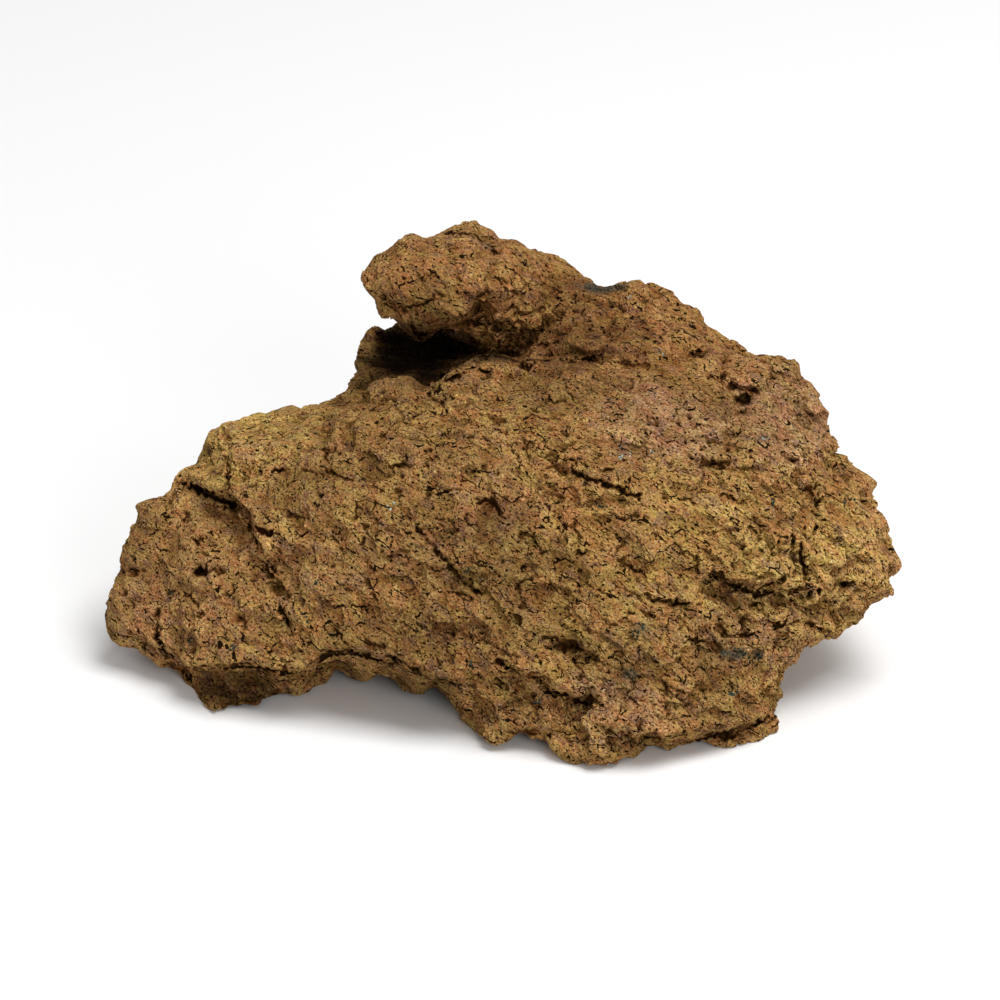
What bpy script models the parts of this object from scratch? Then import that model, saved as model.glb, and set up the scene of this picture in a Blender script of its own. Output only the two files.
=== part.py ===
"""A lava rock: one loose lump of brown scoria, about 199 mm wide, standing on its own feet.

The stone is drawn on a board that leans back, square to the way its big face is seen. On the board u runs
to the right and v up it, and w is the height of the stone's skin above the board, towards the eye. A front
sheet and a back sheet are stretched over such points and closed along the outline, then the whole is made
one skin, roughened, thinned out and cut level at the feet. All lengths here are in millimetres.
"""

from math import cos, hypot, radians, sin, sqrt

import bmesh
import bpy
from mathutils import Matrix, Vector, noise
from mathutils.geometry import delaunay_2d_cdt, intersect_point_line

MM = 0.001

# The drawing board
LEAN = radians(25)  # how far the board leans back from upright
EYE = 1200.0  # distance of the eye from the board, so what stands nearer to it looks larger
BOARD_HEIGHT = 38.6  # height of the board's middle above the ground

# The skin
RIM = 6.0  # radius of the rounding along the outline
RIM_ALLOWANCE = 0.3  # how far outside its drawn outline a lump is made, because the remesh blunts its rim
SHEET_CUTS = 5  # cuts of each drawn edge, so that the rounding shows
SKIN_CELL = 1.6  # cell of the voxel remesh that makes one skin
SKIN_TRIANGLES = 9400
SAME_POINT = 0.001  # points nearer than this are one
FACING_EYE = 0.2  # least share of a skin's direction that points at the eye where pits are sunk

# The relief, as pairs of width and height
SWELLS = (26.0, 1.4)
PLATES = (16.0, 1.9)
FLAKES = (8.0, 0.8)
RAGGED_EDGE = (7.0, 0.25)  # width of the wander of a plate's edge, and its reach as a share of the plate
CHIP_STEP = 0.3  # how much one plate stands above the next, as a share of their height
SCATTER = 7.3  # spreads the plates' places before each draws its own tilt
DRIFTS = (Vector((0, 0, 0)), Vector((9.3, 1.7, 5.1)), Vector((4.4, 8.6, 2.9)))  # one stretch of noise per axis
DROOP = Vector((0, 0, -0.7))  # plates lean so that their lower edges stand out

ROCK_BROWN = (0.20, 0.105, 0.042, 1.0)
DULL = 0.95

# Outline of the body, clockwise from the fin at its top left. A point with no w stands on the ground.
BODY_OUTLINE = [
    (-31, 43.5, -46), (-27.5, 43, -46), (-24, 44.5, -44), (-14, 49, -38), (-4, 54, -30), (3, 60, -26),
    (8, 62, -26), (13, 60.4, -26), (18.5, 58.6, -25), (23.5, 54.5, -20), (30, 54, -18), (36, 54.6, -16),
    (42, 52.3, -14),
    (45.5, 49.2, -12), (50, 47.6, -10), (53, 42.8, -8), (59, 40.2, -7), (63, 36.8, -6), (67, 35.6, -4),
    (72, 36.2, -3), (75.5, 33, -1), (79, 28, 2), (82, 21.5, 4), (80.4, 18, 5), (84.2, 14, 6),
    (84, 11.5, 7), (89, 8.6, 8), (90.5, 6, 9), (93.3, 4.8, 10), (92.6, 0, 11), (97.5, -5, 13),
    (99.5, -15, 14), (98, -23.5, 14), (93, -26, 14), (90, -30.5, 15), (85.5, -32.5, 16), (80, -36.2, 17),
    (75.2, -36.4, 19), (75.3, -39, 20), (70, -43.5, 22), (70, -50, 24), (68, -53, 26), (69.5, -56, 27),
    (65, -60), (58, -62), (49, -60.3), (41, -62.4), (34, -63), (29, -66), (22, -66.7), (16, -64.4),
    (10, -59.6, 40), (5, -59.6, 38), (1, -61), (-5, -59.4), (-9.5, -54.6), (-14, -50), (-15, -48, 20),
    (-22, -49), (-26, -45.5, 13), (-30, -44.2, 10), (-35, -44.6, 8), (-40.5, -41.8, 6), (-42, -45, 8),
    (-49, -48.2, 12), (-56, -48.8, 12), (-61, -50.8), (-67, -51.2), (-72, -51.6), (-76, -49.5, 9),
    (-81, -43.6, 6), (-87, -40.4, 4), (-93, -37.2, 3), (-97.8, -34.8, 2), (-99.3, -28, 1), (-96.4, -21, 0),
    (-94.4, -13, -2), (-91.5, -3, -4), (-87, 1.2, -5), (-83.8, 1, -5), (-80.5, 7.4, -6), (-75.5, 10, -7),
    (-73, 15.4, -8), (-68.5, 20.2, -9), (-63, 21, -10), (-57, 22.3, -12), (-51.5, 24.1, -15),
    (-47.5, 23.4, -18), (-41, 26.2, -24), (-38.4, 27, -30), (-36, 31, -38), (-34.7, 37, -43),
    (-33.8, 41.4, -46),
]

# Heights of the front of the body between its ledges
BODY_FRONT = [
    (22, -61, 43), (2, -55, 38), (-9, -49, 32), (10, -50, 40), (33, -49, 44), (47, -50, 42), (60, -49, 36),
    (0, -34, 41), (24, -33, 44), (45, -33, 43), (58, -40, 37), (66, -34, 32), (-15, -33, 37), (-30, -32, 33),
    (-12, -15, 37), (8, -15, 40), (28, -12, 41), (45, -4, 40), (60, -8, 38), (72, -8, 36), (84, -12, 27),
    (76, 2, 28), (88, -2, 18), (-35, -12, 33), (-47, -12, 28), (-45, -28, 29), (-30, 2, 32), (-48, 2, 26),
    (-8, 4, 36), (12, 3, 38), (30, 8, 37), (50, 10, 33), (66, 10, 28), (78, 14, 16), (-58, 3, 19),
    (-25, 16, 26), (-5, 20, 27), (15, 18, 29), (35, 20, 28), (55, 20, 23), (70, 22, 14), (-42, 14, 19),
    (-55, 13, 13), (-66, 8, 9), (-64, 16, 2), (-52, 19, 2), (14, 30, 18), (28, 30, 17), (42, 30, 14),
    (54, 31, 8), (66, 29, 5), (20, 40, 2), (32, 42, 0), (44, 40, 0), (54, 37, -2), (30, 49, -11),
    (40, 48, -9), (14, 52, -18), (-74, -8, 9), (-84, -10, 2), (-88, -20, 2), (-78, -20, 11), (-68, -20, 17),
    (-92, -30, 3), (-83, -29, 10), (-70, -31, 19), (-57, -32, 25), (-84, -2, 0), (-31, 31, -40),
    (-20, 31, -36), (-20, 37, -54), (-8, 40, -52), (2, 42, -36), (-33.5, 37, -52), (-29, 39, -56),
    (78, -27, 24), (86, -27, 19), (60, -27, 35), (71, -38, 27), (53, -25, 38), (64, -51, 31),
]

# Ledges of the body: the lip's points, each with how far the skin drops behind it, and which way the foot lies
BODY_LEDGES = {
    "crest": (
        (0, 0.9),
        [
            (-37, 25, -4, 22), (-33, 25.5, 6, 36), (-28, 29, 12, 46), (-22, 28.6, 14, 44), (-19.5, 26.6, 16, 42),
            (-15.5, 27.4, 17, 42), (-11.5, 32, 15, 44), (-5, 35.4, 13, 46), (0, 36, 12, 40), (5, 34.2, 12, 28),
            (9, 35, 9, 12),
        ],
    ),
    "top_left_block": (
        (-1.6, -1.8),
        [(-76.5, 5.6, 4, 5), (-71, 2.6, 11, 9), (-65.5, -0.6, 17, 11), (-62, -7, 22, 9), (-59, -13, 24, 6)],
    ),
    "lower_left_plate": (
        (0, -2.6),
        [
            (-83, -36.6, 9, 6), (-79, -40.6, 16, 12), (-72, -41, 21, 17), (-64, -40.6, 24, 18),
            (-58, -42, 26, 17), (-48, -42.8, 28, 15), (-44.5, -39, 29, 15), (-36, -37, 32, 18),
            (-31, -40.6, 33, 15), (-23, -42.2, 35, 14), (-16, -44, 36, 11),
        ],
    ),
    "right_shelf": (
        (0.2, -3.2),
        [
            (49, -15.6, 41, 4), (56.5, -19, 42, 10), (62, -21.2, 42, 14), (69, -21, 40, 13), (79, -21.8, 34, 10),
            (88.5, -20.2, 25, 5),
        ],
    ),
    "right_step": ((-0.6, -2), [(64, -28, 34, 3), (70, -30.6, 31, 6), (76, -31.4, 27, 6), (80.5, -33.2, 23, 4)]),
    "bottom_shelf": (
        (0, -1.6),
        [
            (25.5, -55, 46, 5), (31, -57.6, 46, 7), (39, -58.4, 46, 8), (46.5, -57.8, 44, 9), (53, -56.8, 41, 12),
            (60, -55.6, 38, 10), (65, -54.4, 34, 5),
        ],
    ),
    "low_lip": (
        (-0.6, -1.8),
        [(1, -41.2, 42, 3), (8, -43, 43, 4), (16, -46.8, 44, 5), (21, -48.4, 44, 9), (25.4, -50.6, 44, 5)],
    ),
    "middle_lip": ((0.4, -1.8), [(11, -33.8, 43, 3), (16, -34.8, 44, 7), (21, -36.8, 44, 5)]),
}

# The horn, its own closed lump that runs into the body at its right
HORN_OUTLINE = [
    (-34.4, 56, -3), (-32, 60.4, -5), (-28.5, 62.4, -6), (-25.4, 65, -8), (-22, 66.8, -9), (-18.5, 65.4, -9),
    (-12.5, 68, -11), (-6, 69.8, -13), (-2, 67.2, -14), (3, 65.2, -15), (6, 62.6, -15), (12, 57, -18),
    (20, 50, -18), (26, 42, -14), (18, 39, -15), (8, 37, -18), (0, 38.4, -20), (-8, 41, -18), (-14, 42.6, -8),
    (-20.5, 41.4, -6), (-22.5, 44.6, -6), (-28.8, 45.6, -6), (-29.8, 49.4, -5), (-33.4, 53, -3),
]
HORN_FRONT = [
    (-26, 56, 1), (-18, 60, 1), (-8, 62, -2), (-15, 52, 4), (-18, 46, 2), (-26, 50, 1), (0, 60, -6),
    (2, 46, -13), (12, 47, -11), (6, 54, -9), (16, 43, -9), (-2, 42.5, -15), (6, 41, -12),
]
HORN_LEDGES = {
    "chin": ((0.8, -0.5), [(-12, 43.6, 2, 16), (-8.6, 45.4, 2, 13), (-5.6, 50.4, 1, 9), (-2.4, 52.6, -1, 4)]),
}
HORN_BACK = [
    (-28, 53, -26), (-24, 58, -34), (-22, 49, -38), (-12, 60, -44), (-14, 46, -46), (0, 56, -50), (6, 46, -52),
    (16, 46, -46),
]

# The back and the underside of the body, as x to the right, y away from the eye and z up from the ground
BODY_BACK = [
    (-8, 49, -1), (6, 51, -1), (12, 40, -1), (-2, 36, 0), (-48, 33, -1), (-38, 30, -1), (-42, 20, 1),
    (52, 34, -1), (60, 24, 0), (46, 24, -1), (-2, 2, 9), (-40, -2, 12), (28, -22, 7), (34, 4, 8),
    (-66, -8, 9), (26, 30, 6), (-20, 24, 7), (-22, 46, 8), (32, 46, 9), (2, 63, 22), (-28, 59, 28),
    (28, 57, 30), (56, 46, 26), (-54, 40, 26), (78, 26, 34), (12, 58, 56), (40, 49, 55), (-20, 62, 48),
    (64, 38, 52), (-38, 48, 38), (80, -4, 15), (74, 14, 13), (88, 4, 27), (-80, 14, 12), (-86, -2, 24),
    (-70, 24, 32), (-58, 30, 44), (24, 50, 72), (62, -12, 8), (-60, 20, 8),
]

# Pits of the front: centre u and v, half width, half height, depth
PITS = {
    "socket": (-2.7, -1.8, 3.6, 3.0, 3.5),
    "frothy_pocket": (60.5, 26, 5.5, 4.0, 5.5),
    "slot": (49.5, 36.4, 4.0, 1.8, 4.0),
    "red_pit": (70, -5.5, 4.0, 3.4, 2.5),
    "shelf_pocket": (85.5, -20.8, 3.6, 2.0, 5.0),
    "brow_notch": (54, 8.6, 5.5, 2.2, 2.5),
    "low_hole": (23, -49.6, 3.2, 2.2, 5.0),
    "middle_hollow": (17.5, -36.2, 5.0, 2.6, 4.0),
    "left_hole": (-75, -18, 2.4, 2.4, 4.0),
    "arch_recess": (-39, -38.8, 7.0, 2.4, 4.0),
    "under_brow": (-70, -2.2, 6.5, 3.2, 2.5),
    "ridge_shade": (36, 33.4, 7.0, 2.4, 2.5),
}

TO_EYE = Vector((0, -cos(LEAN), sin(LEAN)))


def on_ground(u, v):
    """The point of the ground that is seen at u, v."""
    w = (-BOARD_HEIGHT - v * cos(LEAN)) / (sin(LEAN) - v * cos(LEAN) / EYE)
    return u, v, w


def place(u, v, w):
    """Where a point of the board is, with the ground at z = 0."""
    nearness = 1 - w / EYE
    x, up_board = u * nearness, v * nearness
    return Vector((x, up_board * sin(LEAN) - w * cos(LEAN), up_board * cos(LEAN) + w * sin(LEAN) + BOARD_HEIGHT))


def seen(x, y, z):
    """Where a point in space is drawn on the board."""
    height = z - BOARD_HEIGHT
    w = height * sin(LEAN) - y * cos(LEAN)
    nearness = 1 - w / EYE
    return x / nearness, (y * sin(LEAN) + height * cos(LEAN)) / nearness, w


def let_out(outline, allowance):
    """A clockwise outline, each of its points moved outwards by an allowance."""
    moved = []
    for before, point, after in zip([outline[-1], *outline[:-1]], outline, [*outline[1:], outline[0]]):
        run = Vector((after[0] - before[0], after[1] - before[1])).normalized()
        moved.append((point[0] - run.y * allowance, point[1] + run.x * allowance, *point[2:]))
    return moved


def edges_of_line(first, count):
    """The edges that join a run of points, which start at a given number."""
    return [(first + i, first + i + 1) for i in range(count - 1)]


def stretched_sheet(outline, heights, ledges):
    """Triangles over the outline, the single heights and the lip and foot of each ledge."""
    points = list(outline)
    edges = edges_of_line(0, len(outline)) + [(len(outline) - 1, 0)]
    points += heights
    for (foot_u, foot_v), lip in ledges.values():
        edges += edges_of_line(len(points), len(lip))
        points += [(u, v, w) for u, v, w, _ in lip]
        edges += edges_of_line(len(points), len(lip))
        points += [(u + foot_u, v + foot_v, w - drop) for u, v, w, drop in lip]
    flat = [Vector(point[:2]) for point in points]
    _, _, triangles, sources, _, _ = delaunay_2d_cdt(flat, edges, [], 1, SAME_POINT)
    return points, [[sources[corner][0] for corner in triangle] for triangle in triangles]


def rim_height(u, v, outline):
    """How far the rounded rim lifts the skin at this distance from the outline."""
    here = Vector((u, v))
    nearest = RIM
    for start, end in zip(outline, outline[1:] + outline[:1]):
        a, b = Vector(start[:2]), Vector(end[:2])
        foot, along = intersect_point_line(here, a, b)
        foot = a if along < 0 else b if along > 1 else foot
        nearest = min(nearest, hypot(u - foot[0], v - foot[1]))
    return sqrt(RIM * RIM - (RIM - nearest) ** 2)


def add_sheet(bm, points, triangles, outline, side):
    """One sheet in the mesh, cut fine and rounded at its rim. side is 1 for the front and -1 for the back."""
    part = bmesh.new()
    corners = [part.verts.new(point) for point in points]
    for triangle in triangles:
        part.faces.new([corners[i] for i in (triangle if side > 0 else reversed(triangle))])
    loose = [vert for vert in part.verts if not vert.link_faces]
    bmesh.ops.delete(part, geom=loose, context="VERTS")
    bmesh.ops.subdivide_edges(part, edges=part.edges, cuts=SHEET_CUTS, use_grid_fill=True)
    for vert in part.verts:
        u, v, w = vert.co
        vert.co = place(u, v, w + side * rim_height(u, v, outline))
    rounded = bpy.data.meshes.new("sheet")
    part.to_mesh(rounded)
    bm.from_mesh(rounded)
    bpy.data.meshes.remove(rounded)
    part.free()


def add_lump(bm, outline, front, ledges, back):
    """A closed lump: a front sheet and a back sheet that meet along one outline."""
    outline = let_out(outline, RIM_ALLOWANCE)
    outline = [on_ground(*point) if len(point) == 2 else point for point in outline]
    add_sheet(bm, *stretched_sheet(outline, front, ledges), outline, 1)
    add_sheet(bm, *stretched_sheet(outline, back, {}), outline, -1)


def plates(point, size):
    """How far flat chips stand out, each lying at its own tilt, so that their edges make ledges."""
    width, height = size
    wander, reach = RAGGED_EDGE
    drift = Vector([noise.noise(point / wander + shift) for shift in DRIFTS])
    here = point / width + reach * drift
    _, seeds = noise.voronoi(here)
    lean = 2 * noise.cell_vector(seeds[0] * SCATTER) - Vector((1, 1, 1))
    return height * ((here - seeds[0]).dot(lean + DROOP) + CHIP_STEP * lean.x)


def relief(point):
    """How far the rough skin stands out of the smooth one at a point."""
    swell, swell_height = SWELLS
    return swell_height * noise.noise(point / swell) + plates(point, PLATES) + plates(point, FLAKES)


def pitted(vert):
    """How deep the named pits are at a point of the skin that faces the eye."""
    u, v, _ = seen(*vert.co)
    if vert.normal.dot(TO_EYE) < FACING_EYE:
        return 0.0
    depth = 0.0
    for pit_u, pit_v, wide, high, deep in PITS.values():
        reach = hypot((u - pit_u) / wide, (v - pit_v) / high)
        depth = max(depth, deep * (1 - reach * reach))
    return depth


def one_skin(name, bm):
    """The overlapping lumps as a single closed skin of even cells."""
    mesh = bpy.data.meshes.new(name)
    bm.to_mesh(mesh)
    bm.free()
    lump = bpy.data.objects.new(name, mesh)
    bpy.context.scene.collection.objects.link(lump)
    remesh = lump.modifiers.new("one_skin", "REMESH")
    remesh.mode = "VOXEL"
    remesh.voxel_size = SKIN_CELL
    return lump


def applied(lump):
    """The object's mesh with its modifiers worked in."""
    bpy.context.view_layer.update()
    graph = bpy.context.evaluated_depsgraph_get()
    mesh = bpy.data.meshes.new_from_object(lump.evaluated_get(graph))
    lump.modifiers.clear()
    lump.data = mesh
    return mesh


def roughen(mesh):
    """Gives the smooth skin its swells, plates and pits."""
    moved = [vert.co + vert.normal * relief(vert.co) - TO_EYE * pitted(vert) for vert in mesh.vertices]
    for vert, place_now in zip(mesh.vertices, moved):
        vert.co = place_now


def thin_out(lump):
    """Leaves fewer triangles, most of them where the skin bends."""
    fewer = lump.modifiers.new("fewer_faces", "DECIMATE")
    mesh_triangles = sum(len(face.vertices) - 2 for face in lump.data.polygons)
    fewer.ratio = SKIN_TRIANGLES / mesh_triangles
    fewer.use_collapse_triangulate = True


def joined_to(start):
    """All the points that the mesh's edges join to one point."""
    found, waiting = {start}, [start]
    while waiting:
        vert = waiting.pop()
        for edge in vert.link_edges:
            other = edge.other_vert(vert)
            if other not in found:
                found.add(other)
                waiting.append(other)
    return found


def cut_feet_level(mesh):
    """Takes off what is below the ground, with any chip that comes free, and closes each foot with a flat face."""
    bm = bmesh.new()
    bm.from_mesh(mesh)
    geometry = [*bm.verts, *bm.edges, *bm.faces]
    bmesh.ops.bisect_plane(bm, geom=geometry, plane_co=(0, 0, 0), plane_no=(0, 0, 1), clear_inner=True)
    stone = joined_to(max(bm.verts, key=lambda vert: vert.co.z))
    bmesh.ops.delete(bm, geom=[vert for vert in bm.verts if vert not in stone], context="VERTS")
    rims = [edge for edge in bm.edges if edge.is_boundary]
    bmesh.ops.holes_fill(bm, edges=rims)
    bmesh.ops.triangulate(bm, faces=bm.faces)
    bmesh.ops.recalc_face_normals(bm, faces=bm.faces)
    bm.to_mesh(mesh)
    bm.free()


def stand_on_origin(mesh):
    """Moves the stone so that the middle of its base box is the origin, and brings it to metres."""
    xs = [vert.co.x for vert in mesh.vertices]
    ys = [vert.co.y for vert in mesh.vertices]
    middle = Vector(((min(xs) + max(xs)) / 2, (min(ys) + max(ys)) / 2, 0))
    mesh.transform(Matrix.Scale(MM, 4) @ Matrix.Translation(-middle))
    print(f"board's middle is at x {-middle.x:.2f}, y {-middle.y:.2f}, z {BOARD_HEIGHT:.2f} mm")


def scoria():
    """The dull brown of the stone."""
    material = bpy.data.materials.new("brown_scoria")
    material.use_nodes = True
    surface = material.node_tree.nodes["Principled BSDF"]
    surface.inputs["Base Color"].default_value = ROCK_BROWN
    surface.inputs["Roughness"].default_value = DULL
    return material


def make_rock():
    """The whole stone as one object."""
    lumps = bmesh.new()
    back = [seen(*point) for point in BODY_BACK]
    add_lump(lumps, BODY_OUTLINE, BODY_FRONT, BODY_LEDGES, back)
    add_lump(lumps, HORN_OUTLINE, HORN_FRONT, HORN_LEDGES, HORN_BACK)
    bmesh.ops.remove_doubles(lumps, verts=lumps.verts, dist=SAME_POINT)
    rock = one_skin("lava_rock", lumps)
    roughen(applied(rock))
    thin_out(rock)
    mesh = applied(rock)
    cut_feet_level(mesh)
    stand_on_origin(mesh)
    mesh.materials.append(scoria())
    mesh.shade_flat()


def main():
    for thing in list(bpy.data.objects):
        bpy.data.objects.remove(thing)
    make_rock()


main()
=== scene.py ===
# %% [markdown]
# # A lump of lava rock, finished
#
# Brown scoria is lava that froze while it was still frothing. Three things make its look: broad plates that
# broke off along ledges, a skin full of tiny gas holes, and rust that turned it brown, ochre and plum.
# The solid that we load already has the big lumps and ledges. This lesson grows a fine skin from it, cuts
# the small relief into that skin, and paints it with a material made of nodes.

from math import cos, radians, sin

import bmesh
import bpy
import numpy as np
from mathutils import Euler, Matrix, Vector
from mathutils.bvhtree import BVHTree


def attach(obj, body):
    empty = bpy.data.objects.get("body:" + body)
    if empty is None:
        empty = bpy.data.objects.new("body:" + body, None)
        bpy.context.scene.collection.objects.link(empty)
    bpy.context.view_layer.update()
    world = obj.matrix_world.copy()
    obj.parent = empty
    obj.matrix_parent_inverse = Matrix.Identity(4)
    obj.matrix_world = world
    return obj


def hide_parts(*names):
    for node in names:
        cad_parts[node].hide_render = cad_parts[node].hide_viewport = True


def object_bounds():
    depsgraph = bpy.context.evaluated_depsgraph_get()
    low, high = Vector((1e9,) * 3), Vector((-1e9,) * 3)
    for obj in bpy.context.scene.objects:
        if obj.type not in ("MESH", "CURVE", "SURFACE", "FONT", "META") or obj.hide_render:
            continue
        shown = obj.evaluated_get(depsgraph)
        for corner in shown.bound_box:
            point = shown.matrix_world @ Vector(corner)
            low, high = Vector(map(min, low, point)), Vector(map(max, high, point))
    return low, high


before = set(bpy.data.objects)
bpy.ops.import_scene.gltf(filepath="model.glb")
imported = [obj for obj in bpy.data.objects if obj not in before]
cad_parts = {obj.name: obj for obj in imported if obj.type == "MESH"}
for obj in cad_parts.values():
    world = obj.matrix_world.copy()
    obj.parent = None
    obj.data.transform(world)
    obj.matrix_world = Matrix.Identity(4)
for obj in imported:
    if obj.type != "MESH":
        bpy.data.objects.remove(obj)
cad_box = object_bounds()
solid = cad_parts["lava_rock"]
MM = 0.001  # m
solid_size = [round(side / MM, 1) for side in cad_box[1] - cad_box[0]]
print("solid:", len(solid.data.vertices), "corners, box", solid_size, "mm")

# %% [markdown]
# ## The camera, and a drawing board in its plane
#
# A camera 1.2 m away looks down at the stone by 25 degrees. Every crack or patch below is placed on an
# imaginary board that faces this camera: u runs right and v up, in millimetres, and w comes out of the
# board towards the eye. That is how one would trace a feature by hand, and it keeps each point a plain pair.

# %% Camera
LEAN = radians(25)
EYE = 1200.0  # mm from the camera to the board
FIELD = 250.0  # mm, width of the view at the board
SENSOR = 36.0  # mm
NEAREST = 0.05  # m, where the camera starts to see
BOARD_MIDDLE = Vector((0.82, -0.71, 38.60))
TO_EYE = Vector((0, -cos(LEAN), sin(LEAN)))


def put(data, at=(0, 0, 0)):
    """Places a mesh, lamp or camera in the scene as an object of the same name."""
    thing = bpy.data.objects.new(data.name, data)
    thing.location = at
    bpy.context.scene.collection.objects.link(thing)
    return thing


def turn_to(thing, target):
    """Points a camera or a lamp at a place."""
    thing.rotation_euler = (Vector(target) - thing.location).to_track_quat("-Z", "Y").to_euler()


camera = put(bpy.data.cameras.new("camera"), (BOARD_MIDDLE + TO_EYE * EYE) * MM)
camera.data.sensor_width = SENSOR
camera.data.lens = SENSOR * EYE / FIELD
camera.data.clip_start = NEAREST
turn_to(camera, BOARD_MIDDLE * MM)
bpy.context.scene.camera = camera
print("camera at", [round(x, 3) for x in camera.location], "lens", round(camera.data.lens, 1))


def on_board(points):
    """Where points in millimetres are seen on the board: arrays of u, v and w."""
    x, y, z = (points - np.array(BOARD_MIDDLE)).T
    w = z * sin(LEAN) - y * cos(LEAN)
    nearness = 1 - w / EYE
    return x / nearness, (y * sin(LEAN) + z * cos(LEAN)) / nearness, w


# %% [markdown]
# ## Studio: a pale floor and soft light
#
# A stone's relief shows best under one wide, soft lamp overhead, with a weaker one in front so that the
# undersides go dark but not black. A near-white floor sends some light back up, as a light table would.

# %% Floor and lamps
FLOOR_WHITE = 0.9
FLOOR_ROUGHNESS = 0.9
FLOOR_HALF = 3.0  # m
AIM = (0, 0, 0.04)  # m, what the lamps point at
LAMPS = {  # place in m, side of the square in m, power in W
    "overhead": ((0.60, -0.35, 2.00), 1.2, 38.0),
    "front": ((0.70, -1.80, 0.85), 0.8, 12.0),
}
SKY = 0.4  # strength of the white light from all around


def plain(name, colour, roughness):
    """A material of one colour, for the floor."""
    material = bpy.data.materials.new(name)
    material.use_nodes = True
    surface = material.node_tree.nodes["Principled BSDF"]
    surface.inputs["Base Color"].default_value = (*colour, 1)
    surface.inputs["Roughness"].default_value = roughness
    return material


def make_floor(half_side):
    """A wide square sheet under the stone."""
    mesh = bpy.data.meshes.new("floor")
    corners = [(-half_side, -half_side, 0), (half_side, -half_side, 0), (half_side, half_side, 0),
               (-half_side, half_side, 0)]
    mesh.from_pydata(corners, [], [(0, 1, 2, 3)])
    mesh.materials.append(plain("floor_white", (FLOOR_WHITE,) * 3, FLOOR_ROUGHNESS))
    return put(mesh)


def add_lamp(name, at, size, power):
    """A square soft box that shines at the stone."""
    lamp = bpy.data.lights.new(name, "AREA")
    lamp.size = size
    lamp.energy = power
    turn_to(put(lamp, at), AIM)


floor = make_floor(FLOOR_HALF)
for name, (at, size, power) in LAMPS.items():
    add_lamp(name, at, size, power)
world = bpy.data.worlds.new("studio")
world.use_nodes = True
world.node_tree.nodes["Background"].inputs["Color"].default_value = (1, 1, 1, 1)
world.node_tree.nodes["Background"].inputs["Strength"].default_value = SKY
bpy.context.scene.world = world
bpy.context.scene.view_settings.view_transform = "Standard"
print("lamps:", ", ".join(LAMPS))

# %% [markdown]
# ## One fine skin
#
# The solid's faces are 3 to 5 mm wide, far too coarse for gas holes. We copy it, join its loose triangles in
# one closed mesh, remesh that in even cells of half a millimetre, and smooth it until the flat facets are
# gone while the ledges still stand. A subdivision would round the stone too, but it keeps long thin faces
# long and thin, and small relief needs even ones. The solid itself stays as it is.

# %% Fine skin
SAME_POINT = 1e-6  # m
CELL = 0.5  # mm, a cell of the fine skin
ROUNDING = 14  # rounds of smoothing
ROUNDING_SHARE = 0.5  # how far each round moves a point towards its neighbours' middle


def fine_skin(node):
    """A copy of the solid as one rounded skin of small even cells."""
    bm = bmesh.new()
    bm.from_mesh(node.data)
    bmesh.ops.remove_doubles(bm, verts=bm.verts, dist=SAME_POINT)
    mesh = bpy.data.meshes.new("rock_skin")
    bm.to_mesh(mesh)
    bm.free()
    skin = put(mesh)
    cells = skin.modifiers.new("cells", "REMESH")
    cells.mode = "VOXEL"
    cells.voxel_size = CELL * MM
    rounding = skin.modifiers.new("rounding", "SMOOTH")
    rounding.factor = ROUNDING_SHARE
    rounding.iterations = ROUNDING
    return skin


def work_in(piece):
    """Turns the piece's modifiers into plain mesh."""
    graph = bpy.context.evaluated_depsgraph_get()
    finished = piece.evaluated_get(graph)
    mesh = bpy.data.meshes.new_from_object(finished, preserve_all_data_layers=True, depsgraph=graph)
    piece.modifiers.clear()
    piece.data = mesh
    print(piece.name, "has", len(mesh.vertices), "points")


skin = fine_skin(solid)
work_in(skin)

# %% [markdown]
# ## Helpers for node trees
#
# Geometry and shader trees share their maths, noise and Voronoi nodes. A few small helpers keep the recipes
# below readable: each adds a node, fills its sockets, and hands back its result. Drawing the nodes in the
# editor gives the same trees, but a script can be read from top to bottom and run again.

# %% Node helpers
FLOW = (0.77, -0.27, -0.58)  # the way the lava was drawn out, down to the right of the big face
CELL_WOBBLE = 0.45  # width of the wobble that makes the sides of cells ragged, in cells
SHIFTS = (1, 0.7, 1.3)  # how far a seed shifts a texture along x, y and z, in seeds


def add(tree, kind, inputs=None, **settings):
    """A new node with some settings, and some inputs linked or set, by name or by number."""
    node = tree.nodes.new(kind)
    for name, value in settings.items():
        setattr(node, name, value)
    for name, value in (inputs or {}).items():
        if isinstance(value, bpy.types.NodeSocket):
            tree.links.new(value, node.inputs[name])
        else:
            node.inputs[name].default_value = value
    return node


def calc(tree, operation, *values):
    """A maths node on plain numbers."""
    return add(tree, "ShaderNodeMath", dict(enumerate(values)), operation=operation).outputs[0]


def times(tree, *values):
    """The product of some numbers."""
    found = values[0]
    for value in values[1:]:
        found = calc(tree, "MULTIPLY", found, value)
    return found


def vector_calc(tree, operation, *values):
    """A maths node on vectors. A dot product gives a number, all else a vector."""
    node = add(tree, "ShaderNodeVectorMath", dict(enumerate(values)), operation=operation)
    return node.outputs["Value" if operation == "DOT_PRODUCT" else "Vector"]


def scaled(tree, vector, factor):
    """A vector times a number."""
    node = add(tree, "ShaderNodeVectorMath", {0: vector, "Scale": factor}, operation="SCALE")
    return node.outputs["Vector"]


def noise(tree, place, width, detail=2.0, roughness=0.5):
    """Soft noise whose blobs are about so wide."""
    return add(tree, "ShaderNodeTexNoise",
               {"Vector": place, "Scale": 1 / width, "Detail": detail, "Roughness": roughness})


def ramp(tree, value, low, high, to_low=0.0, to_high=1.0):
    """A value brought from one range to another, smoothly and with its ends held."""
    return add(tree, "ShaderNodeMapRange",
               {"Value": value, "From Min": low, "From Max": high, "To Min": to_low, "To Max": to_high},
               interpolation_type="SMOOTHSTEP").outputs["Result"]


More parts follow.
